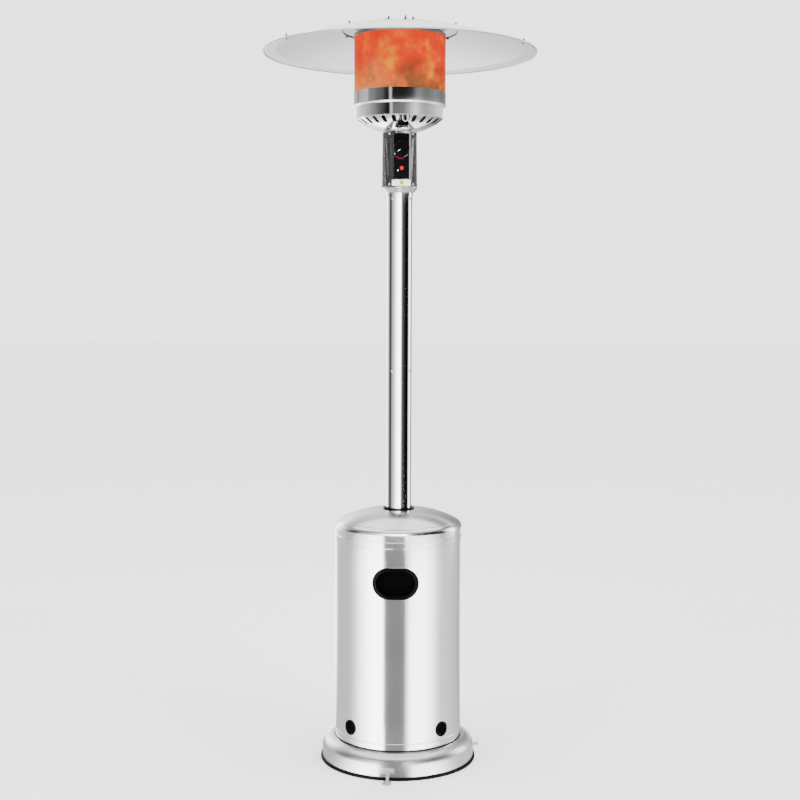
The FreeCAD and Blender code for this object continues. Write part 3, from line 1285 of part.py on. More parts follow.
NODES = {
    "base_rim_trim": make_base_rim_trim,
    "base_pan": make_base_pan,
    "base_plate": make_base_plate,
    "base_weight": make_base_weight,
    "deck_spacers": make_deck_spacers,
    "anchor_brackets": lambda: merged(make_anchor_brackets(), make_anchor_screws()),
    "support_legs": lambda: group([spin(make_leg(), angle) for angle in LEG_ANGLES]),
    "leg_bolts": lambda: merged(make_foot_bolts(), make_leg_top_bolts()),
    "post_socket": make_post_socket,
    "pole_lower": make_pole_lower,
    "pole_coupling": make_pole_coupling,
    "pole_upper": make_pole_upper,
    "pole_screws": lambda: merged(make_socket_screws(), pole_screws(SEAM_SCREW_Z), pole_screws(HEAD_SCREW_Z)),
    "cylinder_body": make_cylinder_body,
    "cylinder_rings": lambda: merged(make_cylinder_foot_ring(), make_cylinder_guard()),
    "cylinder_valve": make_cylinder_valve,
    "handwheel": make_handwheel,
    "coupling_nut": make_coupling_nut,
    "regulator": make_regulator,
    "gas_hose": make_gas_hose,
    "hose_ferrules": make_hose_ferrules,
    "cover_wall": make_cover_wall,
    "cover_foot_band": make_cover_foot_band,
    "cover_dome": make_cover_dome,
    "hand_cups": lambda: group([hand_cup_at(0), hand_cup_at(180)]),
    "vent_grommets": make_vent_grommets,
    "pole_grommet": lambda: merged(make_pole_grommet(), make_grommet_screws()),
    "head_collar": make_head_collar,
    "front_strip": make_front_strip,
    "back_strip": make_back_strip,
    "screen_left": lambda: make_screen(-1),
    "screen_right": lambda: make_screen(1),
    "screen_screws": make_screen_screws,
    "control_panel": make_control_panel,
    "rating_plate": make_rating_plate,
    "head_flange": make_head_flange,
    "gas_valve": make_gas_valve,
    "valve_plunger": make_valve_plunger,
    "control_knob": make_knob,
    "igniter_body": make_igniter_body,
    "igniter_button": make_igniter_button,
    "tilt_switch": make_tilt_switch,
    "gas_riser": make_gas_riser,
    "pilot_burner": lambda: merged(make_pilot_pipe(), make_pilot_bracket()),
    "thermocouple": make_thermocouple,
    "spark_electrode": lambda: merged(make_igniter_lead(), make_spark_electrode()),
    "burner_bowl": make_burner_bowl,
    "band_lower": make_band_lower,
    "band_upper": make_band_upper,
    "burner_pan": lambda: merged(make_venturi(), make_burner_pan()),
    "burner_screen": make_burner_screen,
    "emitter_screen": make_emitter_screen,
    "emitter_cap": make_emitter_cap,
    "reflector_studs": lambda: merged(make_studs(), make_stud_spacers()),
    "wing_nuts": make_wing_nuts,
    "reflector_disc": make_reflector_disc,
    "reflector_petal_1": lambda: make_petal(SEAM_ANGLES[0]),
    "reflector_petal_2": lambda: make_petal(SEAM_ANGLES[1]),
    "reflector_petal_3": lambda: make_petal(SEAM_ANGLES[2]),
    "reflector_bolts": make_reflector_bolts,
}

os.makedirs("parts", exist_ok=True)
for name, make in NODES.items():
    shape = make()
    shape.exportStep("parts/" + name + ".step")
    print(name, "solids", len(shape.Solids), "valid", shape.isValid(), "volume", round(shape.Volume))
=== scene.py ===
# %% [markdown]
# # A patio heater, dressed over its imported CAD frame
#
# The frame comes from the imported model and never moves. Each step below first says what a part of
# the heater is made of, then makes it. Lengths are in metres, +Z is up, and -Y is the front.

import json
import math

import bpy
from mathutils import Matrix, Vector

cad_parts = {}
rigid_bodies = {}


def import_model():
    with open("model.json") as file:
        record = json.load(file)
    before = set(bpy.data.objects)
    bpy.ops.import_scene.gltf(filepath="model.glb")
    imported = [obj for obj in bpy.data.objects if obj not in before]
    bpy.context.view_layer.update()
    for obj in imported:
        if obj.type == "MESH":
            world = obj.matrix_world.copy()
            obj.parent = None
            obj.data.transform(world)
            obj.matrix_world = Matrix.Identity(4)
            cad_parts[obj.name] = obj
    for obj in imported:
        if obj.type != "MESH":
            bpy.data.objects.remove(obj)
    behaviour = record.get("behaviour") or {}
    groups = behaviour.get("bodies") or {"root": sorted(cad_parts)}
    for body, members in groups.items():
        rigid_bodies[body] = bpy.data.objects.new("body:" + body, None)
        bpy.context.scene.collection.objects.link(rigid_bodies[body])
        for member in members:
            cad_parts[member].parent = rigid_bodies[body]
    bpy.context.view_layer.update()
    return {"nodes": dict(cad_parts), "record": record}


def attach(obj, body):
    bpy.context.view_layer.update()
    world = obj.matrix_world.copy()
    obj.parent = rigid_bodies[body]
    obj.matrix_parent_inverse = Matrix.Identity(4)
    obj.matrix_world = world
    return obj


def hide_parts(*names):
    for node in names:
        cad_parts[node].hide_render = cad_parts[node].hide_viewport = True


for thing in list(bpy.data.objects):
    bpy.data.objects.remove(thing)
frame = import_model()
nodes = frame["nodes"]

# %% [markdown]
# ## Sizes
#
# These are the few sizes that the looks share with the CAD parts. The head is turned six and a
# half degrees about the pole, so everything on its front is first placed facing -Y and then turned.

# %% Sizes
MM = 0.001
HEAD_TURN = math.radians(6.5)
PANEL_FACE = 50.5 * MM
KNOB_Z = 1846.0 * MM
KNOB_FACE = 76.1 * MM
BUTTON_Z = 1788.0 * MM
EMITTER_R = 136.0 * MM
EMITTER_Z = (1977.0 * MM, 2181.0 * MM)
HOUSING_Z = (1734.5 * MM, 1896.5 * MM)
HOUSING_R = (53.1 * MM, 51.1 * MM)
print("emitter height:", round(EMITTER_Z[1] - EMITTER_Z[0], 3))

# %% [markdown]
# ## A small kit for node groups
#
# A geometry node group is a recipe with named inputs. `grow` runs a recipe and keeps its plain
# mesh.


# %% The node kit
def new_group(name, inputs):
    """Empty recipe with a geometry input, a geometry output and the named inputs."""
    group = bpy.data.node_groups.new(name, "GeometryNodeTree")
    group.interface.new_socket("Geometry", in_out="OUTPUT", socket_type="NodeSocketGeometry")
    group.interface.new_socket("Geometry", in_out="INPUT", socket_type="NodeSocketGeometry")
    for label, kind, value in inputs:
        socket = group.interface.new_socket(label, in_out="INPUT", socket_type="NodeSocket" + kind)
        if value is not None:
            socket.default_value = value
    return group


def add(tree, kind, links=(), **settings):
    """New node; settings are its properties, and links are (input name or number, value or socket)."""
    node = tree.nodes.new(kind)
    for key, value in settings.items():
        setattr(node, key, value)
    for where, value in links:
        if isinstance(value, bpy.types.NodeSocket):
            tree.links.new(value, node.inputs[where])
        else:
            node.inputs[where].default_value = value
    return node


def calc(tree, operation, first, second=0.0):
    """One step of arithmetic."""
    node = add(tree, "ShaderNodeMath", [(0, first), (1, second)], operation=operation)
    return node.outputs[0]


def between(tree, start, end, share):
    """The value a share of the way from start to end."""
    span = calc(tree, "SUBTRACT", end, start)
    return calc(tree, "ADD", start, calc(tree, "MULTIPLY", span, share))


def on_circle(tree, radius, angle, height):
    """Point at a radius, angle and height about the pole's axis."""
    x = calc(tree, "MULTIPLY", radius, calc(tree, "COSINE", angle))
    y = calc(tree, "MULTIPLY", radius, calc(tree, "SINE", angle))
    return add(tree, "ShaderNodeCombineXYZ", [(0, x), (1, y), (2, height)]).outputs[0]


def finish_group(tree, geometry, material):
    """Make the copies real, give them their material and send them out."""
    real = add(tree, "GeometryNodeRealizeInstances", [(0, geometry)])
    painted = add(tree, "GeometryNodeSetMaterial", [("Geometry", real.outputs[0]), ("Material", material)])
    add(tree, "NodeGroupOutput", [(0, painted.outputs[0])])


def keep_mesh(name, mesh, sharp_deg=30.0):
    """Object at the origin that holds a finished mesh, with edges over an angle kept sharp."""
    mesh.shade_smooth()
    mesh.set_sharp_from_angle(angle=math.radians(sharp_deg))
    piece = bpy.data.objects.new(name, mesh)
    bpy.context.scene.collection.objects.link(piece)
    return piece


def grow(name, group, values, points=()):
    """Run a recipe on a row of points and keep the plain mesh."""
    seed = bpy.data.meshes.new(name + "_seed")
    seed.from_pydata([(x, 0.0, z) for x, z in points], [], [])
    carrier = bpy.data.objects.new(name + "_seed", seed)
    bpy.context.scene.collection.objects.link(carrier)
    recipe = carrier.modifiers.new("recipe", "NODES")
    recipe.node_group = group
    labels = {s.name: s.identifier for s in group.interface.items_tree if s.in_out == "INPUT"}
    for label, value in values.items():
        recipe[labels[label]] = value
    bpy.context.view_layer.update()
    graph = bpy.context.evaluated_depsgraph_get()
    mesh = bpy.data.meshes.new_from_object(carrier.evaluated_get(graph))
    bpy.data.objects.remove(carrier)
    bpy.data.meshes.remove(seed)
    print(name, "has", len(mesh.polygons), "faces")
    return keep_mesh(name, mesh)


# %% [markdown]
# ## Materials
#
# Every finish starts from the same recipe: a base colour, a roughness and a grain. The grain is
# noise in object space, stretched one way where the metal is brushed. It lifts the surface a
# little, and it makes some spots duller than others, so that no surface is perfectly even. Each
# call gives the colour, the roughness, the share of metal, the grain, and then how much the grain
# lifts the surface, swings its roughness and tints its colour.


# %% The material kit
def surface(name, colour, rough, metallic=0.0, grain=(60, 60, 60), lift=0.02, swing=0.06, tint=0.12,
            **sockets):
    """Material with a grained, slightly uneven surface."""
    material = bpy.data.materials.new(name)
    material.use_nodes = True
    tree = material.node_tree
    shader = tree.nodes["Principled BSDF"]
    shader.inputs["Metallic"].default_value = metallic
    for socket, value in sockets.items():
        shader.inputs[socket.replace("_", " ")].default_value = value
    place = add(tree, "ShaderNodeTexCoord").outputs["Object"]
    stretch = add(tree, "ShaderNodeMapping", [("Vector", place), ("Scale", grain)])
    fine = add(tree, "ShaderNodeTexNoise", [("Vector", stretch.outputs[0]), ("Scale", 1.0), ("Detail", 6.0)])
    broad = add(tree, "ShaderNodeTexNoise", [("Vector", place), ("Scale", 7.0), ("Detail", 3.0)])
    bump = add(tree, "ShaderNodeBump", [("Height", fine.outputs[0]), ("Strength", lift), ("Distance", 0.001)])
    tree.links.new(bump.outputs[0], shader.inputs["Normal"])
    mixed = between(tree, fine.outputs[0], broad.outputs[0], 0.4)
    spread = add(tree, "ShaderNodeMapRange", [
        ("Value", mixed), ("From Min", 0.3), ("From Max", 0.7),
        ("To Min", max(rough - swing, 0.02)), ("To Max", rough + swing)])
    tree.links.new(spread.outputs[0], shader.inputs["Roughness"])
    dark = tuple(c * (1 - tint) for c in colour) + (1.0,)
    full = tuple(colour) + (1.0,)
    shade = add(tree, "ShaderNodeMixRGB", [(0, broad.outputs[0]), (1, dark), (2, full)])
    tree.links.new(shade.outputs[0], shader.inputs["Base Color"])
    return material


looks = {
    "satin_stainless": surface("satin_stainless", (0.80, 0.80, 0.79), 0.15, 1.0,
                               (2, 2, 900), 0.04, 0.03, 0.04),
    "polished_chrome": surface("polished_chrome", (0.84, 0.84, 0.85), 0.06, 1.0,
                               (3, 3, 60), 0.004, 0.02, 0.03),
    "zinc_steel": surface("zinc_steel", (0.66, 0.67, 0.68), 0.32, 1.0,
                          (300, 300, 300), 0.05, 0.08, 0.15),
    "dome_steel": surface("dome_steel", (0.74, 0.74, 0.73), 0.19, 1.0,
                          (2, 2, 700), 0.06, 0.05, 0.10),
    "pan_steel": surface("pan_steel", (0.66, 0.66, 0.65), 0.30, 1.0, (3, 3, 500), 0.14, 0.08, 0.16),
    "bright_zinc": surface("bright_zinc", (0.88, 0.88, 0.88), 0.45, 1.0,
                           (300, 300, 300), 0.06, 0.08, 0.08),
    "lip_steel": surface("lip_steel", (0.90, 0.90, 0.90), 0.42, 1.0,
                         (90, 90, 90), 0.02, 0.05, 0.04),
    "dark_steel": surface("dark_steel", (0.16, 0.16, 0.16), 0.35, 1.0,
                          (300, 300, 300), 0.05, 0.08, 0.2),
    "bowl_steel": surface("bowl_steel", (0.80, 0.80, 0.79), 0.16, 1.0,
                          (2, 2, 500), 0.04, 0.04, 0.05),
    "reflector_aluminium": surface("reflector_aluminium", (0.86, 0.86, 0.86), 0.46, 1.0,
                                   (90, 90, 90), 0.02, 0.05, 0.04),
    "cast_iron": surface("cast_iron", (0.10, 0.10, 0.10), 0.75, 0.3,
                         (220, 220, 220), 0.6, 0.1, 0.3),
    "grey_paint": surface("grey_paint", (0.060, 0.062, 0.065), 0.45, 0.0,
                          (500, 500, 500), 0.15, 0.05, 0.1),
    "cylinder_paint": surface("cylinder_paint", (0.17, 0.18, 0.185), 0.3, 0.0,
                              (150, 150, 150), 0.08, 0.05, 0.1),
    "brass": surface("brass", (0.72, 0.52, 0.22), 0.28, 1.0, (400, 400, 400), 0.05, 0.08, 0.2),
    "copper": surface("copper", (0.72, 0.38, 0.24), 0.3, 1.0, (400, 400, 400), 0.05, 0.08, 0.25),
    "valve_aluminium": surface("valve_aluminium", (0.60, 0.60, 0.60), 0.5, 1.0,
                               (350, 350, 350), 0.3, 0.08, 0.15),
    "regulator_zinc": surface("regulator_zinc", (0.16, 0.165, 0.17), 0.45, 0.6,
                              (350, 350, 350), 0.25, 0.08, 0.15),
    "black_rubber": surface("black_rubber", (0.003, 0.003, 0.003), 0.62, 0.0,
                            (260, 260, 260), 0.12, 0.08, 0.3, Specular_IOR_Level=0.06),
    "black_plastic": surface("black_plastic", (0.0015, 0.0015, 0.0015), 0.26, 0.0,
                             (700, 700, 700), 0.06, 0.06, 0.3, Specular_IOR_Level=0.04),
    "knob_plastic": surface("knob_plastic", (0.0018, 0.0018, 0.002), 0.20, 0.0,
                            (300, 300, 300), 0.04, 0.06, 0.3, Specular_IOR_Level=0.06),
    "blue_plastic": surface("blue_plastic", (0.008, 0.030, 0.13), 0.42, 0.0,
                            (500, 500, 500), 0.10, 0.06, 0.2),
    "red_plastic": surface("red_plastic", (0.44, 0.003, 0.003), 0.25, 0.0,
                           (300, 300, 300), 0.03, 0.05, 0.1, Specular_IOR_Level=0.15),
    "white_label": surface("white_label", (0.86, 0.87, 0.86), 0.35, 0.0,
                           (300, 300, 300), 0.02, 0.05, 0.03),
    "ceramic": surface("ceramic", (0.84, 0.82, 0.77), 0.22, 0.0, (200, 200, 200), 0.04, 0.05, 0.08),
    "screen_steel": surface("screen_steel", (0.055, 0.055, 0.057), 0.50, 0.85,
                            (300, 300, 300), 0.05, 0.08, 0.2),
    "heat_stained_steel": surface("heat_stained_steel", (0.30, 0.26, 0.23), 0.42, 1.0,
                                  (80, 80, 200), 0.08, 0.1, 0.45),
}


def paint_shade_on_side(material, way, share):
    """Painted shade: keep only a share of the colour where the surface faces down, or in towards the pole."""
    tree = material.node_tree
    base = tree.nodes["Principled BSDF"].inputs["Base Color"]
    colour = base.links[0].from_socket
    normal = add(tree, "ShaderNodeNewGeometry").outputs["Normal"]
    place = add(tree, "ShaderNodeTexCoord").outputs["Object"]
    inwards = add(tree, "ShaderNodeVectorMath", [(0, place), (1, (-1, -1, 0))], operation="MULTIPLY")
    towards = inwards.outputs[0] if way == "in" else (0, 0, -1)
    facing = add(tree, "ShaderNodeVectorMath", [(0, normal), (1, towards)], operation="DOT_PRODUCT")
    side = calc(tree, "GREATER_THAN", facing.outputs["Value"], 0.0)
    keep = between(tree, 1.0, share, side)
    shaded = add(tree, "ShaderNodeVectorMath", [(0, colour), ("Scale", keep)], operation="SCALE")
    tree.links.new(shaded.outputs[0], base)


# Painted shade: the bowl's inner side keeps 4% of its colour, and the reflector's underside keeps 55%.
paint_shade_on_side(looks["bowl_steel"], "in", 0.04)
paint_shade_on_side(looks["reflector_aluminium"], "down", 0.55)
print("finishes:", len(looks))

# %% [markdown]
# ## The glowing mesh
#
# The emitter is hottest in its upper half, where red and orange patches turn to yellow in spots.
# Its lower edge is cooler: tan on the left and brown on the right. Two layers of noise and a few
# hot spots make the patches, and height sets which of the two sets of colours is seen. A colour
# stop is (position, colour), and a hot spot is (place, reach, gain).


# %% Glow material
HOT = [(0.34, (0.52, 0.012, 0.0)), (0.50, (0.60, 0.026, 0.0)),
       (0.60, (0.64, 0.085, 0.0)), (0.74, (0.68, 0.21, 0.0))]
WARM = [(0.26, (0.12, 0.045, 0.016)), (0.44, (0.24, 0.080, 0.024)), (0.62, (0.60, 0.17, 0.035))]
COOL_Z = EMITTER_Z[0] + 0.035
HOT_Z = EMITTER_Z[0] + 0.125
HOT_SPOTS = [((-0.062, -0.12, 2.095), 0.075, 0.24), ((0.085, -0.105, 2.085), 0.065, 0.22),
             ((-0.105, -0.085, 2.15), 0.05, 0.10), ((0.02, -0.13, 2.165), 0.05, 0.05)]


def colour_steps(tree, value, stops):
    """Colour ramp with the given stops."""
    ramp = add(tree, "ShaderNodeValToRGB", [(0, value)])
    while len(ramp.color_ramp.elements) < len(stops):
        ramp.color_ramp.elements.new(0.5)
    for stop, (spot, colour) in zip(ramp.color_ramp.elements, stops):
        stop.position = spot
        stop.color = colour + (1.0,)
    return ramp.outputs[0]


def glow(name, power):
    """Material of hot wire, bright at the top and cooler at the foot, with a power for all of it."""
    material = surface(name, (0.02, 0.006, 0.003), 0.7, 0.0, (90, 90, 30), 0.10, 0.1, 0.4,
                       Specular_IOR_Level=0.05)
    tree = material.node_tree
    shader = tree.nodes["Principled BSDF"]
    place = add(tree, "ShaderNodeTexCoord").outputs["Object"]
    split = add(tree, "ShaderNodeSeparateXYZ", [(0, place)])
    noise = [add(tree, "ShaderNodeTexNoise", [("Vector", place), ("Scale", scale), ("Detail", detail)])
             for scale, detail in ((17.0, 1.0), (55.0, 5.0))]
    patches, blotches = [layer.outputs[0] for layer in noise]
    mottle = calc(tree, "ADD", calc(tree, "MULTIPLY", patches, 0.7), calc(tree, "MULTIPLY", blotches, 0.4))
    mottle = calc(tree, "SUBTRACT", mottle, 0.13)
    for spot, reach, gain in HOT_SPOTS:
        away = add(tree, "ShaderNodeVectorMath", [(0, place), (1, spot)], operation="DISTANCE")
        near = add(tree, "ShaderNodeMapRange", [
            ("Value", away.outputs["Value"]), ("From Min", reach), ("From Max", 0.0),
            ("To Min", 0.0), ("To Max", gain)])
        mottle = calc(tree, "ADD", mottle, near.outputs[0])
    hot = colour_steps(tree, mottle, HOT)
    sideways = calc(tree, "MULTIPLY", split.outputs[0], 1.3)
    warm = colour_steps(tree, calc(tree, "SUBTRACT", mottle, sideways), WARM)
    waves = calc(tree, "MULTIPLY", calc(tree, "SUBTRACT", patches, 0.5), 0.16)
    lifted = calc(tree, "ADD", split.outputs[2], waves)
    heat = add(tree, "ShaderNodeMapRange", [
        ("Value", lifted), ("From Min", COOL_Z), ("From Max", HOT_Z)], interpolation_type="SMOOTHSTEP")
    mixed = add(tree, "ShaderNodeMixRGB", [(0, heat.outputs[0]), (1, warm), (2, hot)])
    tree.links.new(mixed.outputs[0], shader.inputs["Emission Color"])
    shader.inputs["Emission Strength"].default_value = power
    return material


looks["glowing_mesh"] = glow("glowing_mesh", 1.9)
looks["glowing_gauze"] = glow("glowing_gauze", 2.3)
print("the glow is brightest above", round(HOT_Z, 3), "m")

# %% [markdown]
# ## The recipe for a perforated sheet
#
# A flat grid has every second row shifted by half a step. Cut into triangles and turned inside
# out (its dual), it becomes a honeycomb. Each cell is shrunk inside itself and its middle is
# deleted, which leaves a hole. Last, the sheet is rolled about the pole's axis.


# %% Perforated sheet
def perforated_recipe():
    """Recipe for a rolled sheet with six-sided holes in a honeycomb."""
    tree = new_group("Perforated sheet", [
        ("Columns", "Int", 100), ("Rows", "Int", 30), ("Hole share", "Float", 0.6),
        ("Low radius", "Float", 0.1), ("Top radius", "Float", 0.1),
        ("Low height", "Float", 0.0), ("Top height", "Float", 0.1),
        ("Start angle", "Float", 0.0), ("Sweep", "Float", 1.0), ("Material", "Material", None)])
    given = add(tree, "NodeGroupInput").outputs
    columns = calc(tree, "ADD", given["Columns"], 1.0)
    rows = calc(tree, "ADD", given["Rows"], 1.0)
    grid = add(tree, "GeometryNodeMeshGrid", [("Size X", 1.0), ("Size Y", 1.0),
                                              ("Vertices X", columns), ("Vertices Y", rows)])
    index = add(tree, "GeometryNodeInputIndex").outputs[0]
    row = calc(tree, "MODULO", index, rows)
    odd = calc(tree, "MODULO", row, 2.0)
    slide = calc(tree, "DIVIDE", calc(tree, "MULTIPLY", odd, 0.5), given["Columns"])
    shift = add(tree, "ShaderNodeCombineXYZ", [(0, slide)])
    moved = add(tree, "GeometryNodeSetPosition", [
        ("Geometry", grid.outputs[0]), ("Offset", shift.outputs[0])])
    place = add(tree, "GeometryNodeInputPosition").outputs[0]
    split = add(tree, "ShaderNodeSeparateXYZ", [(0, place)])
    angle = calc(tree, "ADD", given["Start angle"],
                 calc(tree, "MULTIPLY", given["Sweep"], calc(tree, "ADD", split.outputs[0], 0.5)))
    share = calc(tree, "ADD", split.outputs[1], 0.5)
    radius = between(tree, given["Low radius"], given["Top radius"], share)
    height = between(tree, given["Low height"], given["Top height"], share)
    rolled = add(tree, "GeometryNodeSetPosition", [
        ("Geometry", moved.outputs[0]), ("Position", on_circle(tree, radius, angle, height))])
    triangles = add(tree, "GeometryNodeTriangulate", [("Mesh", rolled.outputs[0])],
                    quad_method="SHORTEST_DIAGONAL")
    cells = add(tree, "GeometryNodeDualMesh", [("Mesh", triangles.outputs[0])])
    raised = add(tree, "GeometryNodeExtrudeMesh", [
        ("Mesh", cells.outputs[0]), ("Offset Scale", 0.0), ("Individual", True)], mode="FACES")
    shrunk = add(tree, "GeometryNodeScaleElements", [
        ("Geometry", raised.outputs[0]), ("Selection", raised.outputs[1]), ("Scale", given["Hole share"])])
    holed = add(tree, "GeometryNodeDeleteGeometry", [
        ("Geometry", shrunk.outputs[0]), ("Selection", raised.outputs[1])], domain="FACE")
    finish_group(tree, holed.outputs[0], given["Material"])
    return tree


perforated = perforated_recipe()
around = 2 * math.pi
emitter = grow("emitter_mesh", perforated, {
    "Columns": 158, "Rows": 46, "Hole share": 0.52, "Low radius": EMITTER_R, "Top radius": EMITTER_R,
    "Low height": EMITTER_Z[0], "Top height": EMITTER_Z[1], "Start angle": math.radians(90),
    "Sweep": around * 159.5 / 158, "Material": looks["glowing_mesh"]})
screens = {}
half = 62.0
for side, start in (("left", 180.0), ("right", 0.0)):
    screens[side] = grow("screen_mesh_" + side, perforated, {
        "Columns": 40, "Rows": 66, "Hole share": 0.44, "Low radius": HOUSING_R[0], "Top radius": HOUSING_R[1],
        "Low height": HOUSING_Z[0], "Top height": HOUSING_Z[1],
        "Start angle": math.radians(start - half) + HEAD_TURN, "Sweep": math.radians(2 * half),
        "Material": looks["screen_steel"]})

# %% [markdown]
# ## The recipe for turned sheet metal
#
# A row of points gives the outline as (radius, height). A grid takes one column per point and one
# row per step of the turn, and each grid point looks up its outline point and swings it round.


# %% Turned sheet
def turned_recipe():
    """Recipe that turns a row of outline points about the pole's axis."""
    tree = new_group("Turned outline", [
        ("Steps", "Int", 96), ("Start angle", "Float", 0.0), ("Sweep", "Float", around),
        ("Material", "Material", None)])
    given = add(tree, "NodeGroupInput").outputs
    size = add(tree, "GeometryNodeAttributeDomainSize", [("Geometry", given["Geometry"])], component="MESH")
    along = calc(tree, "ADD", given["Steps"], 1.0)
    grid = add(tree, "GeometryNodeMeshGrid", [("Vertices X", size.outputs[0]), ("Vertices Y", along)])
    index = add(tree, "GeometryNodeInputIndex").outputs[0]
    spot = calc(tree, "FLOOR", calc(tree, "DIVIDE", calc(tree, "ADD", index, 0.5), along))
    step = calc(tree, "MODULO", index, along)
    place = add(tree, "GeometryNodeInputPosition").outputs[0]
    found = add(tree, "GeometryNodeSampleIndex", [
        ("Geometry", given["Geometry"]), ("Value", place), ("Index", spot)],
        data_type="FLOAT_VECTOR", domain="POINT")
    for socket in found.inputs:
        if socket.name == "Value" and socket.type == "VECTOR":
            tree.links.new(place, socket)
        if socket.name == "Index":
            tree.links.new(spot, socket)
    outline = add(tree, "ShaderNodeSeparateXYZ", [(0, found.outputs[0])])
    turn = calc(tree, "DIVIDE", calc(tree, "MULTIPLY", given["Sweep"], step), given["Steps"])
    angle = calc(tree, "ADD", given["Start angle"], turn)
    ringed = on_circle(tree, outline.outputs[0], angle, outline.outputs[2])
    swung = add(tree, "GeometryNodeSetPosition", [("Geometry", grid.outputs[0]), ("Position", ringed)])
    joined = add(tree, "GeometryNodeMergeByDistance", [("Geometry", swung.outputs[0]), ("Distance", 0.00001)])
    finish_group(tree, joined.outputs[0], given["Material"])
    return tree


turned = turned_recipe()


def turn_piece(name, points_mm, look, steps=96, start_deg=0.0, sweep_deg=360.0):
    """Turn a closed outline in millimetres. The outline is put the way round that faces outwards."""
    closed = list(points_mm) + [points_mm[0]]
    area = sum(a[0] * b[1] - b[0] * a[1] for a, b in zip(closed, closed[1:]))
    if area > 0:
        closed.reverse()
    return grow(name, turned, {"Steps": steps, "Start angle": math.radians(start_deg),
                               "Sweep": math.radians(sweep_deg), "Material": looks[look]},
                [(r * MM, z * MM) for r, z in closed])


def tube(outer, wall, z0, z1):
    """Outline of a plain tube with small rounded ends."""
    return [(outer - wall, z0), (outer - 0.3, z0), (outer, z0 + 0.3),
            (outer, z1 - 0.3), (outer - 0.3, z1), (outer - wall, z1)]


pole_low = turn_piece("pole_lower_tube", tube(38.1, 1.2, 688.0, 1204.0), "polished_chrome")
pole_top = turn_piece("pole_upper_tube", tube(38.1, 1.2, 1204.0, 1716.0), "polished_chrome")
gauze = turn_piece("inner_gauze", tube(133.6, 0.8, 1979.0, 2179.0), "glowing_gauze")

# %% [markdown]
# Three thin rings finish the edges: a bright lip under the upper band, a black ring of painted shade
# in the seam at the opening of the petals, and a thin black ring at the foot of the cover.

# %% Edge rings
band_lip = turn_piece("band_lip", [(128.9, 1974.9), (128.9, 1970.6), (131.5, 1970.9), (134.6, 1972.2),
                                   (136.4, 1973.8), (136.9, 1974.9)], "lip_steel")
# Painted shade: a black ring hangs just inside the petals' opening, where the seam lies in shade.
petal_seam_shade = turn_piece("petal_seam_shade", tube(170.6, 1.2, 2191.0, 2194.2), "black_plastic")
foot_line = turn_piece("foot_line", tube(193.0, 0.9, 72.3, 75.0), "black_rubber")
for piece, body in ((gauze, "stand"), (band_lip, "stand"), (petal_seam_shade, "stand"), (foot_line, "tank_cover")):
    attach(piece, body)
print("edge rings: 3")

# %% [markdown]
# ## Print on the panel and the plate
#
# The print is thin raised ink. The dark red arc sweeps round the lower left of the knob, with two
# white ticks at its end and a pale line at its right. The plate has one green-yellow dot and two
# grey lines in place of words.


# %% Print
def panel_point(x, z, lift):
    """Point on the panel, x to the right and z up, a lift in front of its face."""
    flat = Vector((x, -PANEL_FACE - lift, z))
    return Matrix.Rotation(HEAD_TURN, 3, "Z") @ flat


def ink(name, outline, look, lift=0.12 * MM):
    """Flat piece of ink with a thin edge; the outline's (x, z) points run counterclockwise."""
    count = len(outline)
    front = [panel_point(x, z, lift) for x, z in outline]
    back = [panel_point(x, z, 0.0) for x, z in outline]
    faces = [tuple(range(count))]
    faces += [(i, i + count, (i + 1) % count + count, (i + 1) % count) for i in range(count)]
    mesh = bpy.data.meshes.new(name)
    mesh.from_pydata([tuple(p) for p in front + back], [], faces)
    mesh.materials.append(looks[look])
    return keep_mesh(name, mesh)


def arc_band(r_in, r_out, start_deg, end_deg, steps=24):
    """Outline of a curved band about the knob; degrees run from straight down towards the right."""
    spots = [math.radians(start_deg + (end_deg - start_deg) * i / steps) for i in range(steps + 1)]
    outer = [(r_out * MM * math.sin(a), KNOB_Z - r_out * MM * math.cos(a)) for a in spots]
    inner = [(r_in * MM * math.sin(a), KNOB_Z - r_in * MM * math.cos(a)) for a in spots]
    return outer + inner[::-1]


def dot_outline(x, z, r, steps=24):
    """Outline of a round dot."""
    turns = [around * i / steps for i in range(steps)]
    return [(x + r * math.cos(a), z + r * math.sin(a)) for a in turns]


def star_outline(x, z, r, tips=6):
    """Small star with a notch between its tips."""
    turns = [math.pi * i / tips for i in range(2 * tips)]
    reach = [r if i % 2 == 0 else r * 0.6 for i in range(2 * tips)]
    return [(x + q * math.cos(a), z + q * math.sin(a)) for q, a in zip(reach, turns)]


looks["dark_red_ink"] = surface("dark_red_ink", (0.075, 0.002, 0.005), 0.35, 0.0, (400, 400, 400),
                                0.02, 0.05, 0.1, Specular_IOR_Level=0.1)
looks["white_ink"] = surface("white_ink", (0.8, 0.8, 0.8), 0.4, 0.0, (400, 400, 400), 0.02, 0.05, 0.05)
looks["grey_ink"] = surface("grey_ink", (0.30, 0.30, 0.31), 0.4, 0.0, (400, 400, 400), 0.02, 0.05, 0.05)
looks["green_ink"] = surface("green_ink", (0.31, 0.39, 0.0), 0.8, 0.0, (400, 400, 400),
                             0.02, 0.05, 0.05, Specular_IOR_Level=0.0)
print_pieces = [
    ink("arc_print", arc_band(26.5, 32.0, -43, 14), "dark_red_ink"),
    ink("line_print", arc_band(25.2, 26.0, 16, 46), "grey_ink"),
    ink("tick_print_1", arc_band(24.4, 26.2, -54, -48, 3), "white_ink"),
    ink("tick_print_2", arc_band(27.0, 28.2, -51.5, -48, 3), "white_ink", 0.2 * MM),
    # A small white star, below and to the left of the button.
    ink("white_star_mark", star_outline(-10.8 * MM, BUTTON_Z - 6.5 * MM, 2.8 * MM), "white_ink")]

LABEL_MIDDLE = 1745.0 * MM
LABEL_FACE = 55.07 * MM
LABEL_LEAN = 2.0 / 163.0


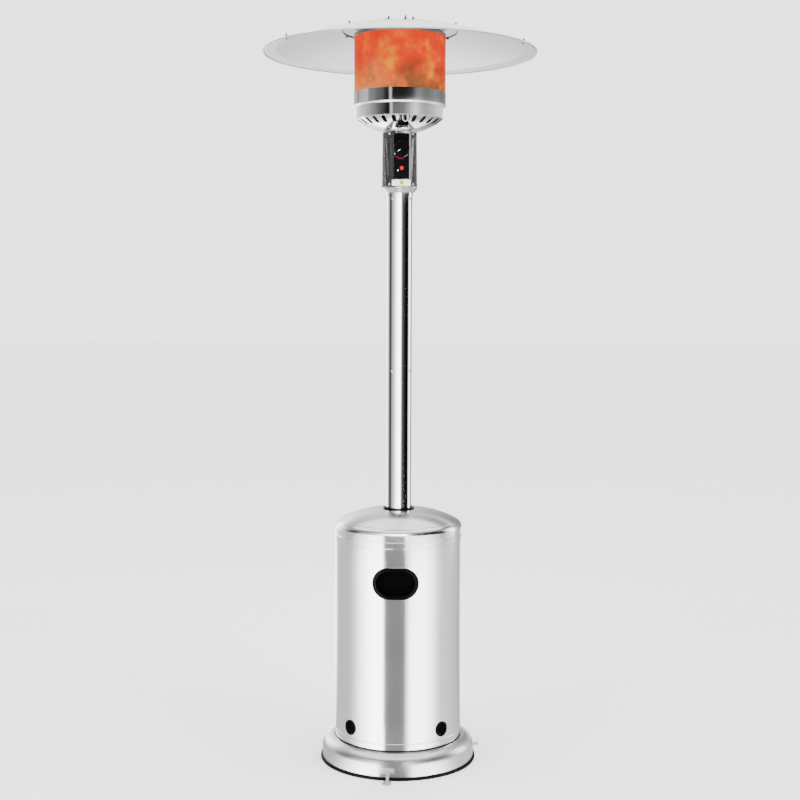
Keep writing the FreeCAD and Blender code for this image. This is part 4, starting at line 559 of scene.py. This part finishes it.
def plate_ink(name, outline, look):
    """Ink on the plate, which stands a little in front of the panel's face and is slightly round."""
    made = ink(name, outline, look)
    for vertex in made.data.vertices:
        flat = Matrix.Rotation(-HEAD_TURN, 3, "Z") @ vertex.co
        depth = -PANEL_FACE - flat.y
        lean = (flat.z - LABEL_MIDDLE) * LABEL_LEAN
        flat.y = -math.sqrt((LABEL_FACE - lean) ** 2 - flat.x ** 2) - depth
        vertex.co = Matrix.Rotation(HEAD_TURN, 3, "Z") @ flat
    return made


def bar_outline(x0, x1, z0, z1):
    """Outline of a level bar, in millimetres."""
    return [(x * MM, z * MM) for x, z in ((x0, z0), (x1, z0), (x1, z1), (x0, z1))]


print_pieces += [
    plate_ink("dot_print", dot_outline(0.0, 1746.0 * MM, 6.0 * MM), "green_ink"),
    plate_ink("plate_line_1", bar_outline(-4, 3, 1739.0, 1740.0), "grey_ink"),
    plate_ink("plate_line_2", bar_outline(7, 14, 1740.2, 1741.0), "grey_ink")]
for piece in print_pieces:
    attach(piece, "stand")
print("pieces of print:", len(print_pieces))

# %% [markdown]
# The knob's pointer carries a short white line, so it rides on the knob and turns with it.


# %% Pointer line
def pointer_line(start, end, half):
    """Outline of a short bar on the knob's pointer, which points 130 degrees round from straight up."""
    along = Vector((-math.sin(math.radians(130)), math.cos(math.radians(130))))
    across = Vector((-along.y, along.x))
    middle = Vector((0.0, KNOB_Z))
    spots = ((start, -half), (end, -half), (end, half), (start, half))
    return [tuple(middle + along * a * MM + across * b * MM) for a, b in spots]


knob_mark = ink("knob_mark", pointer_line(9.0, 17.5, 0.8), "white_ink", KNOB_FACE - PANEL_FACE + 0.1 * MM)
for vertex in list(knob_mark.data.vertices)[4:]:
    vertex.co = Matrix.Rotation(HEAD_TURN, 3, "Z") @ Vector((0, -KNOB_FACE + PANEL_FACE, 0)) + vertex.co
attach(knob_mark, "knob")
print("the pointer line rides on the knob")

# %% [markdown]
# ## The wire loop in the lighting hole
#
# A bent wire hangs from the burner pan in the front opening of the bowl. It is drawn as a round
# line and kept as a mesh.


# %% Wire loop
def bent_wire(name, points, thick, look):
    """Round wire along a row of points that face the front of the head."""
    line = bpy.data.curves.new(name + "_line", "CURVE")
    line.dimensions = "3D"
    line.bevel_depth = thick / 2
    line.bevel_resolution = 4
    line.use_fill_caps = True
    run = line.splines.new("POLY")
    run.points.add(len(points) - 1)
    for spot, point in zip(run.points, points):
        spot.co = (Matrix.Rotation(HEAD_TURN, 3, "Z") @ (Vector(point) * MM)).to_4d()
    carrier = bpy.data.objects.new(name + "_carrier", line)
    bpy.context.scene.collection.objects.link(carrier)
    bpy.context.view_layer.update()
    graph = bpy.context.evaluated_depsgraph_get()
    mesh = bpy.data.meshes.new_from_object(carrier.evaluated_get(graph))
    bpy.data.objects.remove(carrier)
    mesh.materials.clear()
    mesh.materials.append(looks[look])
    return keep_mesh(name, mesh)


bend = [(4 + 8.3 * math.cos(math.pi * (1 + i / 12)), -105.0 - 2.5 * abs(i / 6 - 1),
         1927 + 8.3 * math.sin(math.pi * (1 + i / 12))) for i in range(13)]
loop = [(-4.3, -106, 1955), (-4.3, -109, 1936)] + bend + [(12.3, -109, 1936), (12.3, -106, 1955)]
wire_loop = bent_wire("wire_loop", loop, 2.6 * MM, "bright_zinc")
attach(wire_loop, "stand")
print("wire loop points:", len(loop))

# %% [markdown]
# ## Every CAD node gets its finish
#
# The pieces that keep their CAD mesh take the finish that the record names for them, and a few
# take a finish of their own. Five sheets and tubes are replaced by the finer meshes made above.

# %% Finishes for the CAD nodes
slots = {part["node"]: part["material_slot"] for part in frame["record"]["subparts"]}
own_look = {"cover_dome": "dome_steel", "base_pan": "pan_steel", "burner_bowl": "bowl_steel",
            "reflector_bolts": "dark_steel", "reflector_studs": "dark_steel",
            "anchor_brackets": "bright_zinc", "thermocouple": "dark_steel", "pilot_burner": "dark_steel"}
for name, node in nodes.items():
    node.data.materials.clear()
    node.data.materials.append(looks[own_look.get(name, slots[name])])

replaced = [(emitter, "emitter_screen", "stand"), (screens["left"], "screen_left", "stand"),
            (screens["right"], "screen_right", "stand"), (pole_low, "pole_lower", "stand"),
            (pole_top, "pole_upper", "stand")]
for piece, name, body in replaced:
    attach(piece, body)
    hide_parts(name)
print("replaced:", [name for _, name, _ in replaced])

# %% [markdown]
# ## The studio
#
# A pale floor, a pale sky and three soft lamps. Polished metal shows only what stands round it, so
# the studio also has a light tent: rings of soft cloth, lit in upright bands from white to black.
# Only reflections see the tent. Each ring gives its bands as (degrees from the front, grey), and
# grey runs from 0, black, to 1, white.


# %% Floor and light tent
def stage_mesh(name, corners, faces, material):
    """Mesh that belongs to the studio and not to the heater."""
    mesh = bpy.data.meshes.new(name)
    mesh.from_pydata(corners, [], faces)
    mesh.materials.append(material)
    made = bpy.data.objects.new(name, mesh)
    bpy.context.scene.collection.objects.link(made)
    return made


pale = bpy.data.materials.new("pale_floor")
pale.use_nodes = True
pale.node_tree.nodes["Principled BSDF"].inputs["Base Color"].default_value = (0.93, 0.93, 0.93, 1.0)
pale.node_tree.nodes["Principled BSDF"].inputs["Roughness"].default_value = 0.9
FAR = 40.0
FLOOR_Z = -0.0005
floor_corners = [(x * FAR, y * FAR, FLOOR_Z) for x, y in ((-1, -1), (1, -1), (1, 1), (-1, 1))]
stage_mesh("floor", floor_corners, [(0, 1, 2, 3)], pale)

# A measured curve turns a grey into stops of light, and a little more light makes up for the metal.
GREY_CURVE = (58.163, -155.414, 174.139, -98.861, 34.723, -8.744)
METAL_LOSS = 0.25
DARKEST_STOP = -9.0
STOP_RANGE = 13.0


def stops_of_light(grey):
    """How many doublings of light, counted from 1, make a grey in the picture."""
    total = 0.0
    for factor in GREY_CURVE:
        total = total * grey + factor
    return total + METAL_LOSS


def tent_cloth(name, bands, middle_y=0.0):
    """Cloth that gives light in upright bands about an axis."""
    material = bpy.data.materials.new(name)
    material.use_nodes = True
    tree = material.node_tree
    tree.nodes.clear()
    place = add(tree, "ShaderNodeTexCoord").outputs["Object"]
    split = add(tree, "ShaderNodeSeparateXYZ", [(0, place)])
    ahead = calc(tree, "SUBTRACT", middle_y, split.outputs[1])
    angle = calc(tree, "ARCTAN2", split.outputs[0], ahead)
    share = calc(tree, "ADD", calc(tree, "DIVIDE", angle, around), 0.5)
    ramp = add(tree, "ShaderNodeValToRGB", [(0, share)])
    while len(ramp.color_ramp.elements) < len(bands):
        ramp.color_ramp.elements.new(0.5)
    for stop, (degrees, grey) in zip(ramp.color_ramp.elements, bands):
        level = (stops_of_light(grey) - DARKEST_STOP) / STOP_RANGE
        stop.position = degrees / 360.0 + 0.5
        stop.color = (level, level, level, 1.0)
    stops = calc(tree, "ADD", calc(tree, "MULTIPLY", ramp.outputs[0], STOP_RANGE), DARKEST_STOP)
    power = calc(tree, "POWER", 2.0, stops)
    light = add(tree, "ShaderNodeEmission", [("Color", (1, 1, 1, 1)), ("Strength", power)])
    add(tree, "ShaderNodeOutputMaterial", [(0, light.outputs[0])])
    material.cycles.emission_sampling = "NONE"
    return material


def seen_in_metal_only(piece):
    """Hide a piece of the studio from all but reflections."""
    piece.visible_camera = False
    piece.visible_diffuse = False
    piece.visible_shadow = False


def tent_ring(name, bands, low_ring, high_ring, middle_y=0.0):
    """Ring of cloth between two (radius, height) circles that only reflections see."""
    steps = 96
    corners = [(r * math.sin(around * i / steps), -r * math.cos(around * i / steps), z)
               for r, z in (low_ring, high_ring) for i in range(steps)]
    faces = [(i, (i + 1) % steps, steps + (i + 1) % steps, steps + i) for i in range(steps)]
    seen_in_metal_only(stage_mesh(name, corners, faces, tent_cloth(name + "_cloth", bands, middle_y)))


TENT_R = 2.6
POLE_BANDS = [(-180, 0.78), (-142, 0.94), (-121, 0.84), (-105, 0.69), (-92, 0.31), (-80, 0.30),
              (-68, 0.68), (-48, 0.79), (-29, 0.90), (-5, 0.96), (14, 0.96), (23, 0.62), (34, 0.34),
              (46, 0.24), (56, 0.10), (72, 0.01), (84, 0.10), (93, 0.80), (114, 0.95), (130, 0.68),
              (160, 0.55), (180, 0.78)]
COVER_BANDS = [(-180, 0.95), (-157, 0.93), (-138, 0.74), (-99, 0.75), (-89, 0.80), (-70, 0.91),
               (-50, 0.96), (-26, 0.96), (-24, 0.62), (-20, 0.60), (10, 0.60), (14, 0.80), (22, 0.94),
               (47, 0.945), (63, 0.91), (83, 0.80), (104, 0.78), (131, 0.74), (141, 0.68), (152, 0.84),
               (180, 0.95)]
LOW_BAND_BANDS = [(-180, 0.78), (-152, 0.82), (-112, 0.74), (-87, 0.65), (-70, 0.56), (-55, 0.41),
                  (-43, 0.27), (-29, 0.08), (-25, 0.70), (-21, 0.76), (-16, 0.47), (9, 0.52),
                  (20, 0.64), (30, 0.75), (42, 0.81), (56, 0.72), (70, 0.66), (86, 0.70), (110, 0.76),
                  (148, 0.80), (180, 0.78)]
TOP_BAND_BANDS = [(-180, 0.78), (-135, 0.69), (-129, 0.56), (-118, 0.67), (-86, 0.72), (-81, 0.54),
                  (-65, 0.50), (-55, 0.42), (-42, 0.37), (-30, 0.12), (-24, 0.74), (-20, 0.72),
                  (-16, 0.02), (9, 0.02), (27, 0.09), (38, 0.36), (47, 0.51), (67, 0.44), (98, 0.54),
                  (127, 0.47), (160, 0.6), (180, 0.78)]
tent_ring("tent_floor", COVER_BANDS, (0.24, 0.001), (TENT_R, 0.001), -0.105)
tent_ring("tent_low", COVER_BANDS, (TENT_R, 0.0), (TENT_R, 0.30))
tent_ring("tent_pole", POLE_BANDS, (TENT_R, 0.30), (TENT_R, 1.92))
tent_ring("tent_head", LOW_BAND_BANDS, (TENT_R, 1.92), (TENT_R, 2.326))
tent_ring("tent_top", TOP_BAND_BANDS, (TENT_R, 2.326), (TENT_R, 3.2))


def dark_card(name, radius, start_deg, end_deg, z0, z1, grey):
    """Card near the heater, for one dark upright stripe in the cover's steel."""
    steps = 24
    turns = [math.radians(start_deg + (end_deg - start_deg) * i / steps) for i in range(steps + 1)]
    corners = [(radius * math.sin(a), -radius * math.cos(a), z) for z in (z0, z1) for a in turns]
    faces = [(i, i + 1, steps + 2 + i, steps + 1 + i) for i in range(steps)]
    material = bpy.data.materials.new(name + "_card")
    material.use_nodes = True
    tree = material.node_tree
    tree.nodes.clear()
    light = add(tree, "ShaderNodeEmission", [("Strength", 2.0 ** stops_of_light(grey))])
    add(tree, "ShaderNodeOutputMaterial", [(0, light.outputs[0])])
    material.cycles.emission_sampling = "NONE"
    seen_in_metal_only(stage_mesh(name, corners, faces, material))


dark_card("stripe_card", 0.62, -22.5, 10.6, 0.0, 0.675, 0.56)
print("tent rings: 5, radius", TENT_R)


# %% Lamps and sky
def lamp(name, place, target, size, power):
    """Soft square lamp that looks at a target. Metal doesn't show it, because the tent does that work."""
    light = bpy.data.lights.new(name, "AREA")
    light.shape = "SQUARE"
    light.size = size
    light.energy = power
    made = bpy.data.objects.new(name, light)
    bpy.context.scene.collection.objects.link(made)
    made.visible_glossy = False
    aim = (Vector(target) - Vector(place)).to_track_quat("-Z", "Y")
    made.matrix_world = Matrix.Translation(place) @ aim.to_matrix().to_4x4()
    return made


lamp("lamp_left", (-3.2, -3.0, 2.6), (0, 0, 1.1), 2.4, 120)
lamp("lamp_right", (3.4, -2.6, 2.4), (0, 0, 1.1), 2.0, 90)
lamp("lamp_top", (0.2, 0.6, 4.6), (0, 0, 1.0), 3.0, 90)

world = bpy.data.worlds.new("pale_sky")
world.use_nodes = True
world.node_tree.nodes["Background"].inputs[0].default_value = (1.0, 1.0, 1.0, 1.0)
world.node_tree.nodes["Background"].inputs[1].default_value = 2.8
bpy.context.scene.world = world

# %% [markdown]
# ## The camera
#
# It stands about four metres off, a little above chest height, and looks slightly down.

# %% Camera
view = bpy.data.cameras.new("camera")
view.lens = 61.457
view.sensor_width = 36.0
camera = bpy.data.objects.new("camera", view)
bpy.context.scene.collection.objects.link(camera)
camera.matrix_world = (Matrix.Translation((0.0034, -4.1245, 1.4055))
                       @ Matrix.Rotation(math.radians(90 - 4.276), 4, "X")
                       @ Matrix.Rotation(math.radians(0.192), 4, "Z"))
bpy.context.scene.camera = camera
